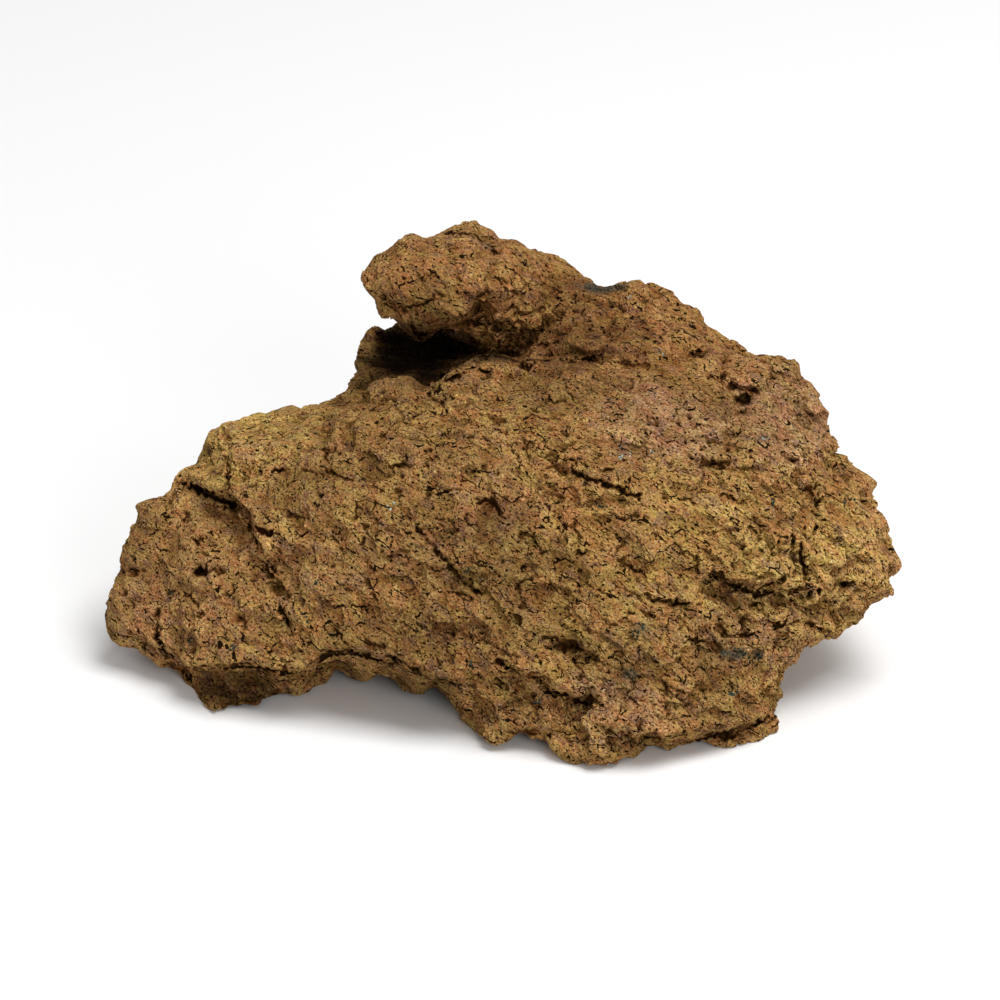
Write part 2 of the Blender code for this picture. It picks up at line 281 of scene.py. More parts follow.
def drawn_out(tree, place, longer):
    """Coordinates that are squashed along the flow, so that what is drawn on them is so many times longer."""
    along = vector_calc(tree, "DOT_PRODUCT", place, FLOW)
    way = [-share * (1 - 1 / longer) for share in FLOW]
    parts = {axis: calc(tree, "MULTIPLY", along, way[axis]) for axis in range(3)}
    part = add(tree, "ShaderNodeCombineXYZ", parts)
    return vector_calc(tree, "ADD", place, part.outputs[0])


def shift(seed):
    """How far a seed shifts the coordinates, so that no two textures are cut from the same place."""
    return tuple(seed * share for share in SHIFTS)


def ragged_place(tree, place, spacing, wander, seed):
    """Coordinates counted in cells of a spacing, with a wobble that makes the cells' sides ragged."""
    here = scaled(tree, place, 1 / spacing)
    drift = scaled(tree, noise(tree, place, spacing * CELL_WOBBLE, 1.0).outputs["Color"], wander)
    return vector_calc(tree, "ADD", vector_calc(tree, "ADD", here, drift), shift(seed))


def ragged_cells(tree, place, spacing, wander, seed):
    """Voronoi cells: the way from the cell's middle in cells, the cell's random colour, and the node."""
    here = ragged_place(tree, place, spacing, wander, seed)
    found = add(tree, "ShaderNodeTexVoronoi", {"Vector": here, "Scale": 1.0})
    return vector_calc(tree, "SUBTRACT", here, found.outputs["Position"]), found.outputs["Color"], found


def new_tree(name, inputs):
    """An empty Geometry Nodes tree that takes a skin and some other inputs, and what it is given."""
    tree = bpy.data.node_groups.new(name, "GeometryNodeTree")
    for socket, kind in ({"Skin": "Geometry"} | inputs).items():
        tree.interface.new_socket(socket, in_out="INPUT", socket_type="NodeSocket" + kind)
    tree.interface.new_socket("Result", in_out="OUTPUT", socket_type="NodeSocketGeometry")
    return tree, add(tree, "NodeGroupInput").outputs


def carried(tree, name):
    """The number that each point carries under a name."""
    return add(tree, "GeometryNodeInputNamedAttribute", {"Name": name}, data_type="FLOAT").outputs[0]


def give_back(tree, last, material):
    """Ends a tree: instances become mesh, and the mesh gets its material."""
    whole = add(tree, "GeometryNodeRealizeInstances", {"Geometry": last.outputs[0]})
    finished = add(tree, "GeometryNodeSetMaterial", {"Geometry": whole.outputs[0], "Material": material})
    add(tree, "NodeGroupOutput", {0: finished.outputs[0]})


def run_tree(piece, tree, sizes):
    """Runs a tree on a piece and keeps the result. Sizes go by the names of the tree's inputs."""
    modifier = piece.modifiers.new(tree.name, "NODES")
    modifier.node_group = tree
    for socket in tree.interface.items_tree:
        if socket.in_out == "INPUT" and socket.name in sizes:
            modifier[socket.identifier] = sizes[socket.name]
    work_in(piece)


# %% [markdown]
# ## Where the skin is flaky, and where it is calm
#
# The real stone isn't rough in the same way all over: the right side is flaky, the left lobe smooth, the
# middle fine and porous. We write these differences on the skin as attributes, numbers that each point
# carries along, so that both the Geometry Nodes and the material can read them. Painting the weights by
# hand would do as well, but oval patches with a wobbly border are quicker to shift and to compare.

# %% Skin attributes
SMOOTH_EDGE = 0.35  # share of a patch's reach over which it fades
BORDER_WOBBLE = 0.3  # how far its border wobbles, in shares of its reach
LEAST_WAVE = 4  # mm, the shortest wobble of a border
WAVE_PARTS = 3  # a wobble is as long as both half widths of the patch together, divided by this
OWN_SEEDS = (7, 13)  # times u and v: any numbers do that give each patch a seed of its own
WAVE_SETS = 4  # sets of waves that are added up
WAVE_PACE = 2
WAVE_FINER, WAVE_WEAKER = 0.6, 0.5  # how much finer and weaker each further set is
WAVE_TOP = 2.2  # about how high they reach together
FULL_TURN = 6.28  # radians
LEAST_FLAKY = 0.12
LEAST_CALM = 0.0


def points_of(piece):
    """The piece's points in millimetres, as an array."""
    flat = np.empty(len(piece.data.vertices) * 3)
    piece.data.vertices.foreach_get("co", flat)
    return flat.reshape(-1, 3) / MM


def normals_of(piece):
    """The directions that the piece's points face, as an array."""
    flat = np.empty(len(piece.data.vertices) * 3)
    piece.data.vertex_normals.foreach_get("vector", flat)
    return flat.reshape(-1, 3)


def move_points(piece, points):
    """Gives the piece new places for its points, in millimetres."""
    piece.data.vertices.foreach_set("co", (points * MM).ravel())
    piece.data.update()


def write_numbers(piece, name, values):
    """Stores one number, or one colour, for each point."""
    kind, slot = ("FLOAT", "value") if values.ndim == 1 else ("FLOAT_COLOR", "color")
    layer = piece.data.attributes.new(name, kind, "POINT")
    layer.data.foreach_set(slot, values.astype(np.float32).ravel())


def read_numbers(piece, name):
    """The numbers that the points carry under a name."""
    values = np.empty(len(piece.data.vertices), np.float32)
    piece.data.attributes[name].data.foreach_get("value", values)
    return values


def rewrite_numbers(piece, name, values):
    """Replaces the numbers that the points carry under a name."""
    piece.data.attributes[name].data.foreach_set("value", values.astype(np.float32))


def neighbour_mean(values, pairs, counts):
    """For each point, the mean of what its neighbours carry."""
    total = np.zeros_like(values)
    np.add.at(total, pairs[:, 0], values[pairs[:, 1]])
    np.add.at(total, pairs[:, 1], values[pairs[:, 0]])
    return total / counts


def softened(piece, values, rounds):
    """The points' values after each took its neighbours' mean, so many times."""
    flat = np.empty(len(piece.data.edges) * 2, np.int32)
    piece.data.edges.foreach_get("vertices", flat)
    counts = np.bincount(flat, minlength=len(values))
    counts = counts[:, None] if values.ndim == 2 else counts
    for _ in range(rounds):
        values = neighbour_mean(values, flat.reshape(-1, 2), counts)
    return values


def smooth(share):
    """0 to 1 with soft ends."""
    share = np.clip(share, 0, 1)
    return share * share * (3 - 2 * share)


def waves(points, width, seed):
    """Slow waves that wobble the border of a patch, from about -1 to 1."""
    total = np.zeros(len(points))
    turn = np.random.default_rng(seed)
    for finer in range(WAVE_SETS):
        direction = turn.normal(size=3) * (1 + WAVE_FINER * finer) / width
        wave = np.sin(points @ direction * WAVE_PACE + turn.uniform(0, FULL_TURN))
        total += wave / (1 + WAVE_WEAKER * finer)
    return total / WAVE_TOP


def off_middle(board, u, v, wide, high):
    """How far each point lies from an oval's middle, in shares of the oval."""
    return np.hypot((board[0] - u) / wide, (board[1] - v) / high)


def patch(board, points, u, v, wide, high):
    """How much each point belongs to an oval patch of the board, from 0 to 1."""
    away = off_middle(board, u, v, wide, high)
    own_seed = abs(int(OWN_SEEDS[0] * u + OWN_SEEDS[1] * v))
    away = away + BORDER_WOBBLE * waves(points, max(LEAST_WAVE, (wide + high) / WAVE_PARTS), own_seed)
    return smooth((1 + SMOOTH_EDGE - away) / (2 * SMOOTH_EDGE))


# Each patch: u, v, half its width, half its height, and how much.
FLAKY = {
    "right_lobe": (76, -14, 26, 30, 1.0), "lower_right": (45, -45, 36, 18, 0.7),
    "lower_middle": (5, -48, 22, 14, 0.6), "neck": (14, 45, 20, 10, 0.8),
    "ridge_end": (66, 24, 20, 12, 0.7), "yellow_corner": (-62, 12, 14, 10, 0.4),
    "low_left_edge": (-60, -42, 26, 7, 0.3),
}
CALM = {
    "left_lobe": (-72, -24, 28, 30, 0.6), "low_left": (-44, -28, 18, 12, 0.7),
    "ridge": (40, 44, 60, 14, 0.8), "horn": (-10, 62, 34, 12, 0.7),
    "hollow": (-26, 36, 14, 8, 1.0), "yellow_corner": (-62, 14, 16, 12, 0.5),
}


def strongest(piece, parts, least):
    """For each point the strongest of some patches, and nowhere less than the least."""
    points = points_of(piece)
    board = on_board(points)
    most = np.full(len(points), least)
    for u, v, wide, high, much in parts.values():
        most = np.maximum(most, much * patch(board, points, u, v, wide, high))
    return most


write_numbers(skin, "flaky", strongest(skin, FLAKY, LEAST_FLAKY))
write_numbers(skin, "calm", strongest(skin, CALM, LEAST_CALM))
print("flaky parts:", ", ".join(FLAKY), "- calm parts:", ", ".join(CALM))

# %% [markdown]
# ## Plates and gas holes, by Geometry Nodes
#
# Scoria breaks in plates that lie at slightly different tilts, so each edge is a tiny ledge. A Voronoi
# texture gives the plates: every cell has its own random colour, which we read as a tilt, and the height is
# that tilt times the way from the cell's middle. Three sizes of plate sit on each other. The gas holes are
# a second kind of Voronoi, kept only near the middle of some of the cells, and the cracks are stretches of
# the net between cells. One could carve all this by hand, but nodes keep every size open to change.

# %% Roughening tree
PLATE_SIZES = ((11.0, 1.1), (5.0, 0.7), (2.4, 0.22))  # width and height
PLATE_WANDER = 0.5  # how ragged the plates' sides are, in cells
PLATE_LENGTH = 1.5  # how many times longer they are along the flow
PLATE_STEP = 0.5  # how far whole plates stand out, against their tilt
HOLE_SIZES = ((6.0, 0.7, 1.5, 0.22), (3.2, 0.5, 1.0, 0.2))  # spacing, radius, depth, share of cells
HOLE_WANDER = 0.35
HOLE_LEAST = 0.5  # the smallest hole's radius, in shares of the radius above
HOLE_WALL = (1.0, 0.55)  # where a hole begins and where it has its full depth, in radii
CRACK_NETS = ((7.0, 0.4, 1.2),)  # width of a mesh of the net, half width of a crack, depth
CRACK_WANDER = 0.5
CRACK_EDGE = 1.4  # where a crack begins, in half widths
CRACK_STRETCH = 0.5  # about how long the open stretches are, in meshes of the net
CRACK_OPEN = (0.56, 0.64)  # the part of a noise over which the net opens
DROOP = -0.6  # plates lean so that their lower edges stand out
PLATE_SEED, HOLE_SEED = 3.1, 5.7  # shifts between the textures of different sizes
ROUGHNESS = {"Calm plates": 0.4, "Flaky plates": 1.3, "Hole depth": 1.0}  # times the heights above


def tilt_of(tree, colour):
    """A plate's tilt, read from its random colour: from -1 to 1 each way, and drooping."""
    return add(tree, "ShaderNodeVectorMath", {0: colour, 1: (2, 2, 2), 2: (-1, -1, DROOP - 1)},
               operation="MULTIPLY_ADD").outputs["Vector"]


def plate_height(tree, place, size, height, seed):
    """How far plates of one size stand out, each at its own tilt."""
    offset, colour, _ = ragged_cells(tree, place, size, PLATE_WANDER, seed)
    lean = tilt_of(tree, colour)
    slope = vector_calc(tree, "DOT_PRODUCT", offset, lean)
    step = calc(tree, "MULTIPLY", add(tree, "ShaderNodeSeparateXYZ", {0: lean}).outputs[0], PLATE_STEP)
    return times(tree, calc(tree, "ADD", slope, step), height)


def hole_depth(tree, place, spacing, radius, depth, share, seed):
    """How deep the gas holes of one size are. They sit in a share of the cells."""
    _, colour, found = ragged_cells(tree, place, spacing, HOLE_WANDER, seed)
    red, green, _ = add(tree, "ShaderNodeSeparateXYZ", {0: colour}).outputs
    own_radius = calc(tree, "MULTIPLY", calc(tree, "ADD", red, HOLE_LEAST), radius / spacing)
    inside = ramp(tree, calc(tree, "DIVIDE", found.outputs["Distance"], own_radius), *HOLE_WALL)
    return times(tree, inside, calc(tree, "LESS_THAN", green, share), depth)


def crack_depth(tree, place, spacing, half_width, depth, seed):
    """How deep the cracks between plates are. Only stretches of the net are open."""
    here = ragged_place(tree, place, spacing, CRACK_WANDER, seed)
    net = add(tree, "ShaderNodeTexVoronoi", {"Vector": here, "Scale": 1.0}, feature="DISTANCE_TO_EDGE")
    away = calc(tree, "MULTIPLY", net.outputs["Distance"], spacing)
    inside = ramp(tree, away, half_width * CRACK_EDGE, 0.0)
    stretches = noise(tree, place, spacing * CRACK_STRETCH, 1.0)
    open_here = ramp(tree, stretches.outputs[0], *CRACK_OPEN)
    return times(tree, inside, open_here, depth)


def roughening_tree():
    """The tree that moves each point of a skin by its plates, gas holes and cracks."""
    tree, given = new_tree("roughening", dict.fromkeys(ROUGHNESS, "Float") | {"Material": "Material"})
    place = scaled(tree, add(tree, "GeometryNodeInputPosition").outputs[0], 1 / MM)
    long_place = drawn_out(tree, place, PLATE_LENGTH)
    plates = 0.0
    for seed, (size, height) in enumerate(PLATE_SIZES, start=1):
        plates = calc(tree, "ADD", plates, plate_height(tree, long_place, size, height, PLATE_SEED * seed))
    holes = 0.0
    for seed, size in enumerate(HOLE_SIZES, start=1):
        holes = calc(tree, "MAXIMUM", holes, hole_depth(tree, place, *size, HOLE_SEED * seed))
    for seed, size in enumerate(CRACK_NETS, start=1):
        holes = calc(tree, "MAXIMUM", holes, crack_depth(tree, long_place, *size, PLATE_SEED * seed))
    least, most = given["Calm plates"], given["Flaky plates"]
    roughness = add(tree, "ShaderNodeMapRange",
                    {"Value": carried(tree, "flaky"), "To Min": least, "To Max": most})
    plates = calc(tree, "MULTIPLY", plates, roughness.outputs["Result"])
    holes = calc(tree, "MULTIPLY", holes, given["Hole depth"])
    rise = calc(tree, "MULTIPLY", calc(tree, "SUBTRACT", plates, holes), MM)
    offset = scaled(tree, add(tree, "GeometryNodeInputNormal").outputs[0], rise)
    # The depth of holes and cracks is kept as sunk; the material paints shade by it.
    noted = add(tree, "GeometryNodeStoreNamedAttribute",
                {"Geometry": given["Skin"], "Name": "sunk", "Value": holes},
                data_type="FLOAT", domain="POINT")
    moved = add(tree, "GeometryNodeSetPosition", {"Geometry": noted.outputs[0], "Offset": offset})
    give_back(tree, moved, given["Material"])
    return tree


scoria = bpy.data.materials.new("brown_scoria")
run_tree(skin, roughening_tree(), ROUGHNESS | {"Material": scoria})
print("roughened with", ", ".join(ROUGHNESS))

# %% [markdown]
# ## Small pulls at the outline
#
# A sculptor ends a rough shape with a grab brush, which pulls a round patch of clay a little to one side.
# These pulls do the same, to bring the outline to the real stone's. Each has its place on the board, its
# reach, and the way that it goes, all in millimetres. A list of pulls can be mended and run again, which a
# hand's strokes can't.

# %% Pulls
PULL_EDGE = 1.4  # where a pull fades out, in shares of its reach
PULLS = {  # u, v, reach, and the way it goes along x, y and z
    "brow_right": (84.3, 14.6, 3.2, (-2.6, 0, -0.6)), "right_high": (93.6, 0.2, 3, (-1.7, 0, -0.3)),
    "right_tip": (99.8, -11, 5, (-1.7, 0, 0)), "right_under": (95.7, -23.1, 4, (1.2, 0, -1.0)),
    "right_low": (84.5, -32.7, 4, (0.8, 0, -1.2)), "head_right": (76.2, 32.5, 3, (-1.0, 0, -0.4)),
    "brow_high": (79.5, 25, 5, (-1.0, 0, 0)), "ridge_right": (59.9, 39.5, 5, (-0.4, 0, -1.2)),
    "ridge_middle": (35.3, 53.5, 6, (0, 0, 1.4)), "ridge_low": (45.4, 49, 3.5, (0.5, 0, 1.0)),
    "behind_horn": (5.2, 63, 4, (0.5, 0, 1.4)), "horn_top": (-2.6, 68, 4, (-0.8, 0, -1.3)),
    "horn_peak": (-22.7, 65, 3.5, (-0.4, 0, 1.5)), "horn_left": (-31.6, 59.7, 3.5, (-1.1, 0, 0.4)),
    "horn_cheek": (-33.7, 54, 3, (-1.0, 0, 0)), "horn_notch": (-28, 46, 2.5, (0.6, 0, 1.0)),
    "chin": (-20, 43.5, 4, (0, 0, -2.0)), "fin": (-35, 35.8, 6, (-2.0, 0, 0)),
    "fin_low": (-37.5, 29, 3, (-1.2, 0, 0)), "fin_tip": (-31.5, 42, 2, (-0.3, 0, 1.3)),
    "fin_foot": (-40, 26.6, 3, (0, 0, -1.1)), "crest_left": (-62, 21.5, 6, (0, 0, -1.3)),
    "crest_middle": (-53, 23.5, 5, (0, 0, -1.0)), "left_shoulder": (-93, -7.2, 3.5, (1.2, 0, -0.3)),
    "left_tip": (-98.5, -25, 4.5, (1.3, 0, 0)), "left_tip_low": (-99, -32, 4, (1.2, 0, 0)),
    "left_under": (-90.2, -38.5, 4, (0.3, 0, 1.0)), "foot": (-67, -49.5, 8, (0, -5.0, -0.4)),
    "foot_right": (-54, -47, 6, (0, -2.5, 0)), "arch": (-27.6, -46, 5, (0, 0, 2.6)),
    "arch_left": (-43, -42, 4, (0, 0, 1.0)), "arch_right": (-14.8, -49.3, 4, (0, 0, 2.4)),
    "low_middle": (-1.5, -58.6, 6, (0, -1.4, -0.4)), "low_point": (32, -63.6, 4, (0, -2.8, 0)),
    "low_notch": (37.2, -62.8, 4, (0, 2.4, 1.0)), "low_right": (52.3, -60.2, 6, (0, -1.4, -0.3)),
    "right_foot": (70.5, -48.5, 5, (-1.1, 0, 0.3)),
}


def pull(piece):
    """Pulls round patches of the piece a little to one side."""
    points = points_of(piece)
    board = on_board(points)
    for u, v, reach, way in PULLS.values():
        share = smooth(PULL_EDGE - np.hypot(board[0] - u, board[1] - v) / reach)
        points += share[:, None] * np.array(way)
    move_points(piece, points)


pull(skin)
print("pulled at", len(PULLS), "places")

# %% [markdown]
# ## Ledges, cracks and holes, traced by hand
#
# The features that make this one stone and no other are traced on the board. A ledge is a line whose upper
# side stands out and whose lower side sinks in. A crack is a line that sinks in on both sides, a swell one
# that rises, and holes and dents are ovals. Only points that the camera sees are moved, along the line of
# sight. An image used as a displacement map would be quicker, but it would also raise what is only colour.

# %% Traced features
LEDGES = {  # how far the upper side stands out, how far the lower one sinks, reach, line of u and v
    "yellow_plate": (1.6, 1.8, 4, [(-79, 4.2), (-76.5, 3.5), (-72.1, 1.6), (-68.5, 0), (-64.9, -1.4)]),
    "yellow_side": (0.5, 0.5, 3, [(-64.9, -1.4), (-64.1, -3), (-61.8, -6.5), (-57.4, -7.8)]),
    "left_divide": (0.4, 0.4, 3, [(-60.8, -9.3), (-59.1, -12.8), (-58.1, -17), (-54.6, -21.8), (-52.5, -24)]),
    "left_plate": (0.4, 0.5, 3, [(-54.6, -26.7), (-52.2, -30.8), (-51, -36)]),
    "left_lip": (1.2, 3.4, 6, [(-82.5, -40.9), (-77.7, -41.7), (-72.1, -41.2), (-67.3, -40.9), (-62.5, -41),
                               (-59.7, -41.5), (-56.5, -42.5), (-46.6, -42.7)]),
    "left_tip": (0.8, 1.2, 4, [(-85, -28), (-85.3, -34.9), (-82.5, -38.9), (-77.8, -44)]),
    "arch": (0.9, 2.2, 4, [(-46.6, -40.5), (-43, -37.8), (-37, -37.5), (-33, -38.5), (-27, -41)]),
    "left_slope": (0.5, 0.8, 3, [(-22.5, -3), (-19, -8.5), (-14, -14), (-9, -19.5), (-5, -23)]),
    "low_left_lip": (0.8, 1.6, 4, [(-27, -38.8), (-21, -42.2), (-16, -44.6), (-11, -45.2)]),
    "low_left_strip": (0.5, 1.0, 3, [(-7, -33.5), (-1, -36.5), (4, -39)]),
    "right_gap": (1.4, 2.2, 4, [(38, -24.2), (42, -25.2), (46.6, -25.2)]),
    "right_shelf": (1.4, 1.8, 4, [(54.5, -18.8), (56.7, -20.5), (58.9, -19.4), (60.5, -20), (63.7, -21.8),
                                  (66.1, -20.8), (68.9, -20.4), (71.7, -18.6)]),
    "right_shelf_end": (1.4, 2.6, 5, [(73.3, -22.2), (76.5, -23), (80.9, -22.5), (84, -21.4)]),
    "strip_left": (0.7, 0.8, 3, [(73.2, -19), (72.4, -14), (73, -9)]),
    "strip_right": (0.7, 0.8, 3, [(76.4, -8), (75.8, -13), (76.8, -19)]),
    "low_right_step": (0.9, 1.6, 4, [(63, -26), (66, -27), (67.4, -29), (69, -31), (74, -30)]),
    "low_right_band": (0.8, 1.4, 3, [(56, -33), (60, -33.4), (63, -33)]),
    "bottom_shelf": (0.8, 1.6, 4, [(25, -56), (30, -58), (40, -59), (46, -58)]),
    "foot_plate": (0.9, 2.2, 4, [(47, -60), (55, -58), (62, -56), (68, -54)]),
    "middle_shelf": (0.8, 1.4, 4, [(12, -34), (18, -35), (24, -39)]),
    "low_lip": (0.7, 1.3, 4, [(0, -40), (6, -43), (12, -45)]),
    "low_lip_end": (0.8, 1.6, 4, [(11, -46.5), (18, -49), (25, -51.5)]),
    "horn_chin": (1.6, 2.6, 4, [(-21.6, 43.8), (-20.4, 41.6), (-17.6, 42), (-10.4, 43.8), (-8.8, 45.8),
                                (-6.8, 48.5), (-5.6, 51.3), (-3.3, 52.1)]),
    "neck_high": (0.5, 0.7, 3, [(-8, 45.4), (-3, 44.2), (3, 42.4), (9, 40)]),
    "neck_low": (0.5, 0.6, 3, [(-12, 40.4), (-6, 39), (0, 38.6), (8, 35)]),
    "neck_right": (0.5, 0.8, 3, [(10, 36), (18, 35), (25, 36)]),
    "head_front": (0.6, 0.8, 3, [(-2, 62), (-4, 64.6), (-10, 66.2), (-18, 67), (-24, 66.5), (-28, 64)]),
    "crest": (0.6, 1.0, 3, [(-18, 27), (-14, 30), (-7, 33), (-3, 32)]),
}
CRACKS = {  # half width, depth, line
    "yellow_gap": (0.8, 3.0, [(-77, 3.2), (-73.5, 1.8), (-70, 0), (-66, -1.6)]),
    "shelf_gap": (0.7, 2.6, [(53.5, -17.5), (57, -20.3), (60.5, -22.4), (64.5, -23.6), (68, -22.9)]),
    "shelf_gap_right": (0.5, 1.6, [(70, -22.6), (73, -22.8), (77, -21.8)]),
    "chin_gap": (0.6, 1.4, [(-2.6, 52), (-4.6, 50), (-6.6, 46.8), (-9.2, 43.8), (-14.6, 42)]),
    "horn": (0.5, 1.4, [(-24.3, 47.7), (-20, 48.8), (-16.8, 50.5)]),
    "under_neck": (1.1, 2.6, [(-12, 37.6), (-6, 36.8), (0, 35.8), (4, 34.6), (7, 33)]),
    "layer_one": (0.4, 1.1, [(-9.2, 43.8), (-4.5, 45.5), (0.8, 43.8), (6.2, 42.5), (10.2, 42.5)]),
    "layer_two": (0.4, 1.1, [(-7.2, 40.2), (-3.2, 38.8), (2.2, 38.2), (7.5, 38.8)]),
    "layer_three": (0.4, 1.0, [(-4.5, 41.8), (0.8, 40.8), (5.5, 40.5)]),
    "layer_four": (0.4, 1.1, [(7.5, 39.8), (11.5, 38.8), (15.5, 39.8)]),
    "layer_five": (0.4, 1.0, [(2.2, 48.5), (6.2, 46.5), (10.8, 47.8)]),
    "centre_main": (0.65, 2.0, [(18.4, 7.1), (20.6, 6.3), (22, 5.2), (24, 4.5)]),
    "centre_end": (0.65, 2.0, [(25.5, 4.3), (28.6, 3.4), (31.5, 1.8), (34.7, 0.7)]),
    "centre_slash": (0.35, 1.0, [(17.6, 10.7), (19, 8.9)]),
    "centre_dash": (0.4, 1.0, [(13.2, 1.3), (15.8, 0.5)]),
    "centre_vee": (0.35, 1.0, [(5.6, 16.2), (6.4, 13.4), (8.6, 14.3)]),
    "centre_low": (0.35, 1.0, [(6.4, 13.2), (7.2, 10.4)]),
    "socket_rim": (0.7, 1.6, [(-5.5, -0.9), (-4, -0.1), (-2.5, 0), (-0.8, -1.4), (0, -3.9)]),
    "under_socket": (0.35, 0.9, [(-6, -11.8), (-6.2, -14.2)]),
    "left_of_socket": (0.35, 0.9, [(-15.5, -4.5), (-12.8, -4.9), (-10.7, -7.8)]),
    "middle_left": (0.4, 1.1, [(-45, 8), (-41, 6.6), (-37, 4.5)]),
    "yellow_split": (0.5, 1.4, [(-68.6, 11), (-67.6, 8), (-68.2, 4.6), (-67.6, 1.6)]),
    "left_edge": (0.5, 1.2, [(-57.8, -20.5), (-54.5, -22), (-52.2, -23.9)]),
    "right_one": (0.45, 1.2, [(62.5, -6.6), (63.5, -7.6), (64.9, -9.8)]),
    "right_two": (0.45, 1.2, [(43.6, -11), (46, -12.8), (49, -14.6), (49.3, -17.8)]),
    "facet_top": (0.5, 1.4, [(74.9, 2.1), (77.3, 2.5), (79.4, -1.7)]),
    "brow_right": (0.6, 1.4, [(55.3, 1), (58, 0.6), (60.9, -1)]),
    "brow_left": (0.5, 1.2, [(45, 0.5), (48.5, -0.8)]),
    "ridge": (0.5, 1.2, [(52, 31), (56, 30)]),
    "shaded_band": (0.8, 1.0, [(30, 34), (36, 33.4), (41, 32)]),
}
DENTS = {  # u, v, half width, half height, depth, below zero where it bulges
    "neck": (1, 43, 13, 7, 1.8), "under_left": (-68, -47, 15, 4.5, 2.5), "hollow": (-22, 37, 9, 5, 3.0),
    "facet": (77.4, -1.5, 2.6, 4.0, 1.2), "strip": (74.4, -14, 1.8, 5, 0.8),
    "under_shelf": (62, -25, 9, 3, 0.4), "crest_lump": (-1, 33.5, 4.5, 2.6, -1.6),
    "crest_lump_left": (-25, 26.5, 5, 2.4, -1.4), "bottom_lump": (36, -54, 9, 4, -1.6),
    "middle_slope": (4, -27, 22, 8, 1.0), "left_valley": (-64, -9, 8, 8, -1.6),
    "over_oval": (33.5, -15.3, 3.4, 1.8, -1.1), "over_pit": (7.3, -9.2, 2.2, 1.4, -0.8),
    "over_pit_low": (4.6, -30, 1.6, 2, -0.8),
}
SWELLS = {  # half width, height, line
    "over_slot": (1.8, 1.3, [(-33.2, 11.6), (-27.2, 6.2)]),
    "over_groove": (1.0, 0.9, [(6.8, -20.5), (4.8, -23), (5.2, -26)]),
}
HOLES = {  # u, v, half width, half height, depth
    "left": (-74.8, -17.9, 1.6, 1.3, 3.5), "left_low": (-74.8, -28.5, 0.9, 0.5, 1.4),
    "left_high": (-75.5, -10.6, 1.0, 0.5, 1.4), "left_top": (-78.3, -3.6, 0.7, 0.5, 1.2),
    "yellow_one": (-68, 15.4, 0.9, 0.6, 1.2), "yellow_two": (-63, 15.6, 0.9, 0.6, 1.2),
    "yellow_slot": (-55.5, 7.2, 1.6, 0.6, 1.8), "crest_one": (-44, 13, 0.6, 0.5, 1.2),
    "crest_two": (-41.5, 12.8, 0.6, 0.5, 1.2), "socket": (-3.4, -3.2, 2.6, 2.2, 0.6),
    "under_socket": (-3, -18.6, 2.2, 1.2, 0.8), "crest_slot": (-25, 8.2, 2.4, 0.6, 1.8),
    "centre_spot": (26.6, 7.4, 1.6, 0.5, 1.6), "centre_pit": (21.4, 3.3, 0.6, 0.5, 1.0),
    "lens": (20.2, -13.1, 1.6, 0.7, 1.6), "lens_left": (10.6, -13.4, 1.2, 0.5, 1.2),
    "ring": (79, -7.1, 0.8, 0.7, 2.2), "dark_pocket": (73.4, 10.1, 1.4, 0.8, 1.6),
    "brow_notch": (54.5, 9.2, 3.0, 0.9, 1.4), "red_pit": (69.5, -6, 0.8, 0.8, 1.2),
    "low_right": (77.5, -31.1, 1.4, 0.7, 2.0), "low_right_gap": (48.7, -35.2, 3.2, 0.6, 1.6),
    "shelf_pocket": (85.8, -21, 2.6, 0.8, 2.0), "frothy": (61, 25, 2.2, 1.3, 2.6),
    "frothy_high": (58, 28.5, 1.4, 1.0, 1.8), "frothy_right": (63.5, 27, 1.2, 1.0, 1.6),
    "slot": (49.5, 36.5, 2.4, 0.6, 2.0), "low": (23, -50, 1.8, 1.3, 2.8),
    "low_recess": (6, -58, 3.4, 0.9, 1.4), "under_plate": (55, -58.8, 4.4, 0.9, 2.0),
    "middle": (17, -36.4, 3.4, 1.4, 1.4),
}
SOFT = 0.4  # mm over which a ledge's step falls, about one cell of the skin
# This gap is real relief, and the material paints shade into it by its depth as well.
GAP = (0.5, 1.8)  # half width and depth of the dark gap right under a ledge
GAP_OPEN = (0.55, 0.9, 4.0, 5)  # how much of it is open: the mean, and the height, width and seed of waves
SINKING = 0.7  # reach of a ledge's lower side, in shares of the upper one's
RAGGED = ((0.5, 2.2, 3), (0.8, 1.8, 4))  # height, width and seed of the wobble of lines, along u and v
FADES = {"gap": 1.5, "dent": 1.4, "swell": 1.2, "crack": 1.3, "hole": 1.5}  # where each ends, in half widths
SHOWN_ROUNDS = 4  # rounds of softening at the border of what the camera sees
BIN = 1.0  # mm, a square of the grid that finds what the camera sees
BINS = 400  # squares along each side of that grid
COVER = 5.0  # mm behind the nearest point, from where a point counts as covered
GRAZING = 0.3  # how squarely a point has to face the camera to be moved in full


def along_line(board, line):
    """Each point's distance from a traced line, positive on its upper (left) side."""
    u, v = board[:2]
    best = np.full(len(u), np.inf)
    side = np.zeros(len(u))
    for (u0, v0), (u1, v1) in zip(line, line[1:]):
        run_u, run_v = u1 - u0, v1 - v0
        share = np.clip(((u - u0) * run_u + (v - v0) * run_v) / (run_u ** 2 + run_v ** 2), 0, 1)
        off_u, off_v = u - u0 - share * run_u, v - v0 - share * run_v
        away = np.hypot(off_u, off_v)
        nearer = away < best
        best = np.where(nearer, away, best)
        side = np.where(nearer, np.sign(run_u * off_v - run_v * off_u), side)
    return best * side


def seen_points(board, facing):
    """How far each point faces the camera, or 0 where something nearer to it covers the point."""
    u, v, w = board
    column = np.round(u / BIN).astype(int) + BINS // 2
    row = np.round(v / BIN).astype(int) + BINS // 2
    nearest = np.full((BINS, BINS), -np.inf)
    np.maximum.at(nearest, (column, row), w)
    open_to_eye = w > nearest[column, row] - COVER
    return smooth(facing / GRAZING) * open_to_eye


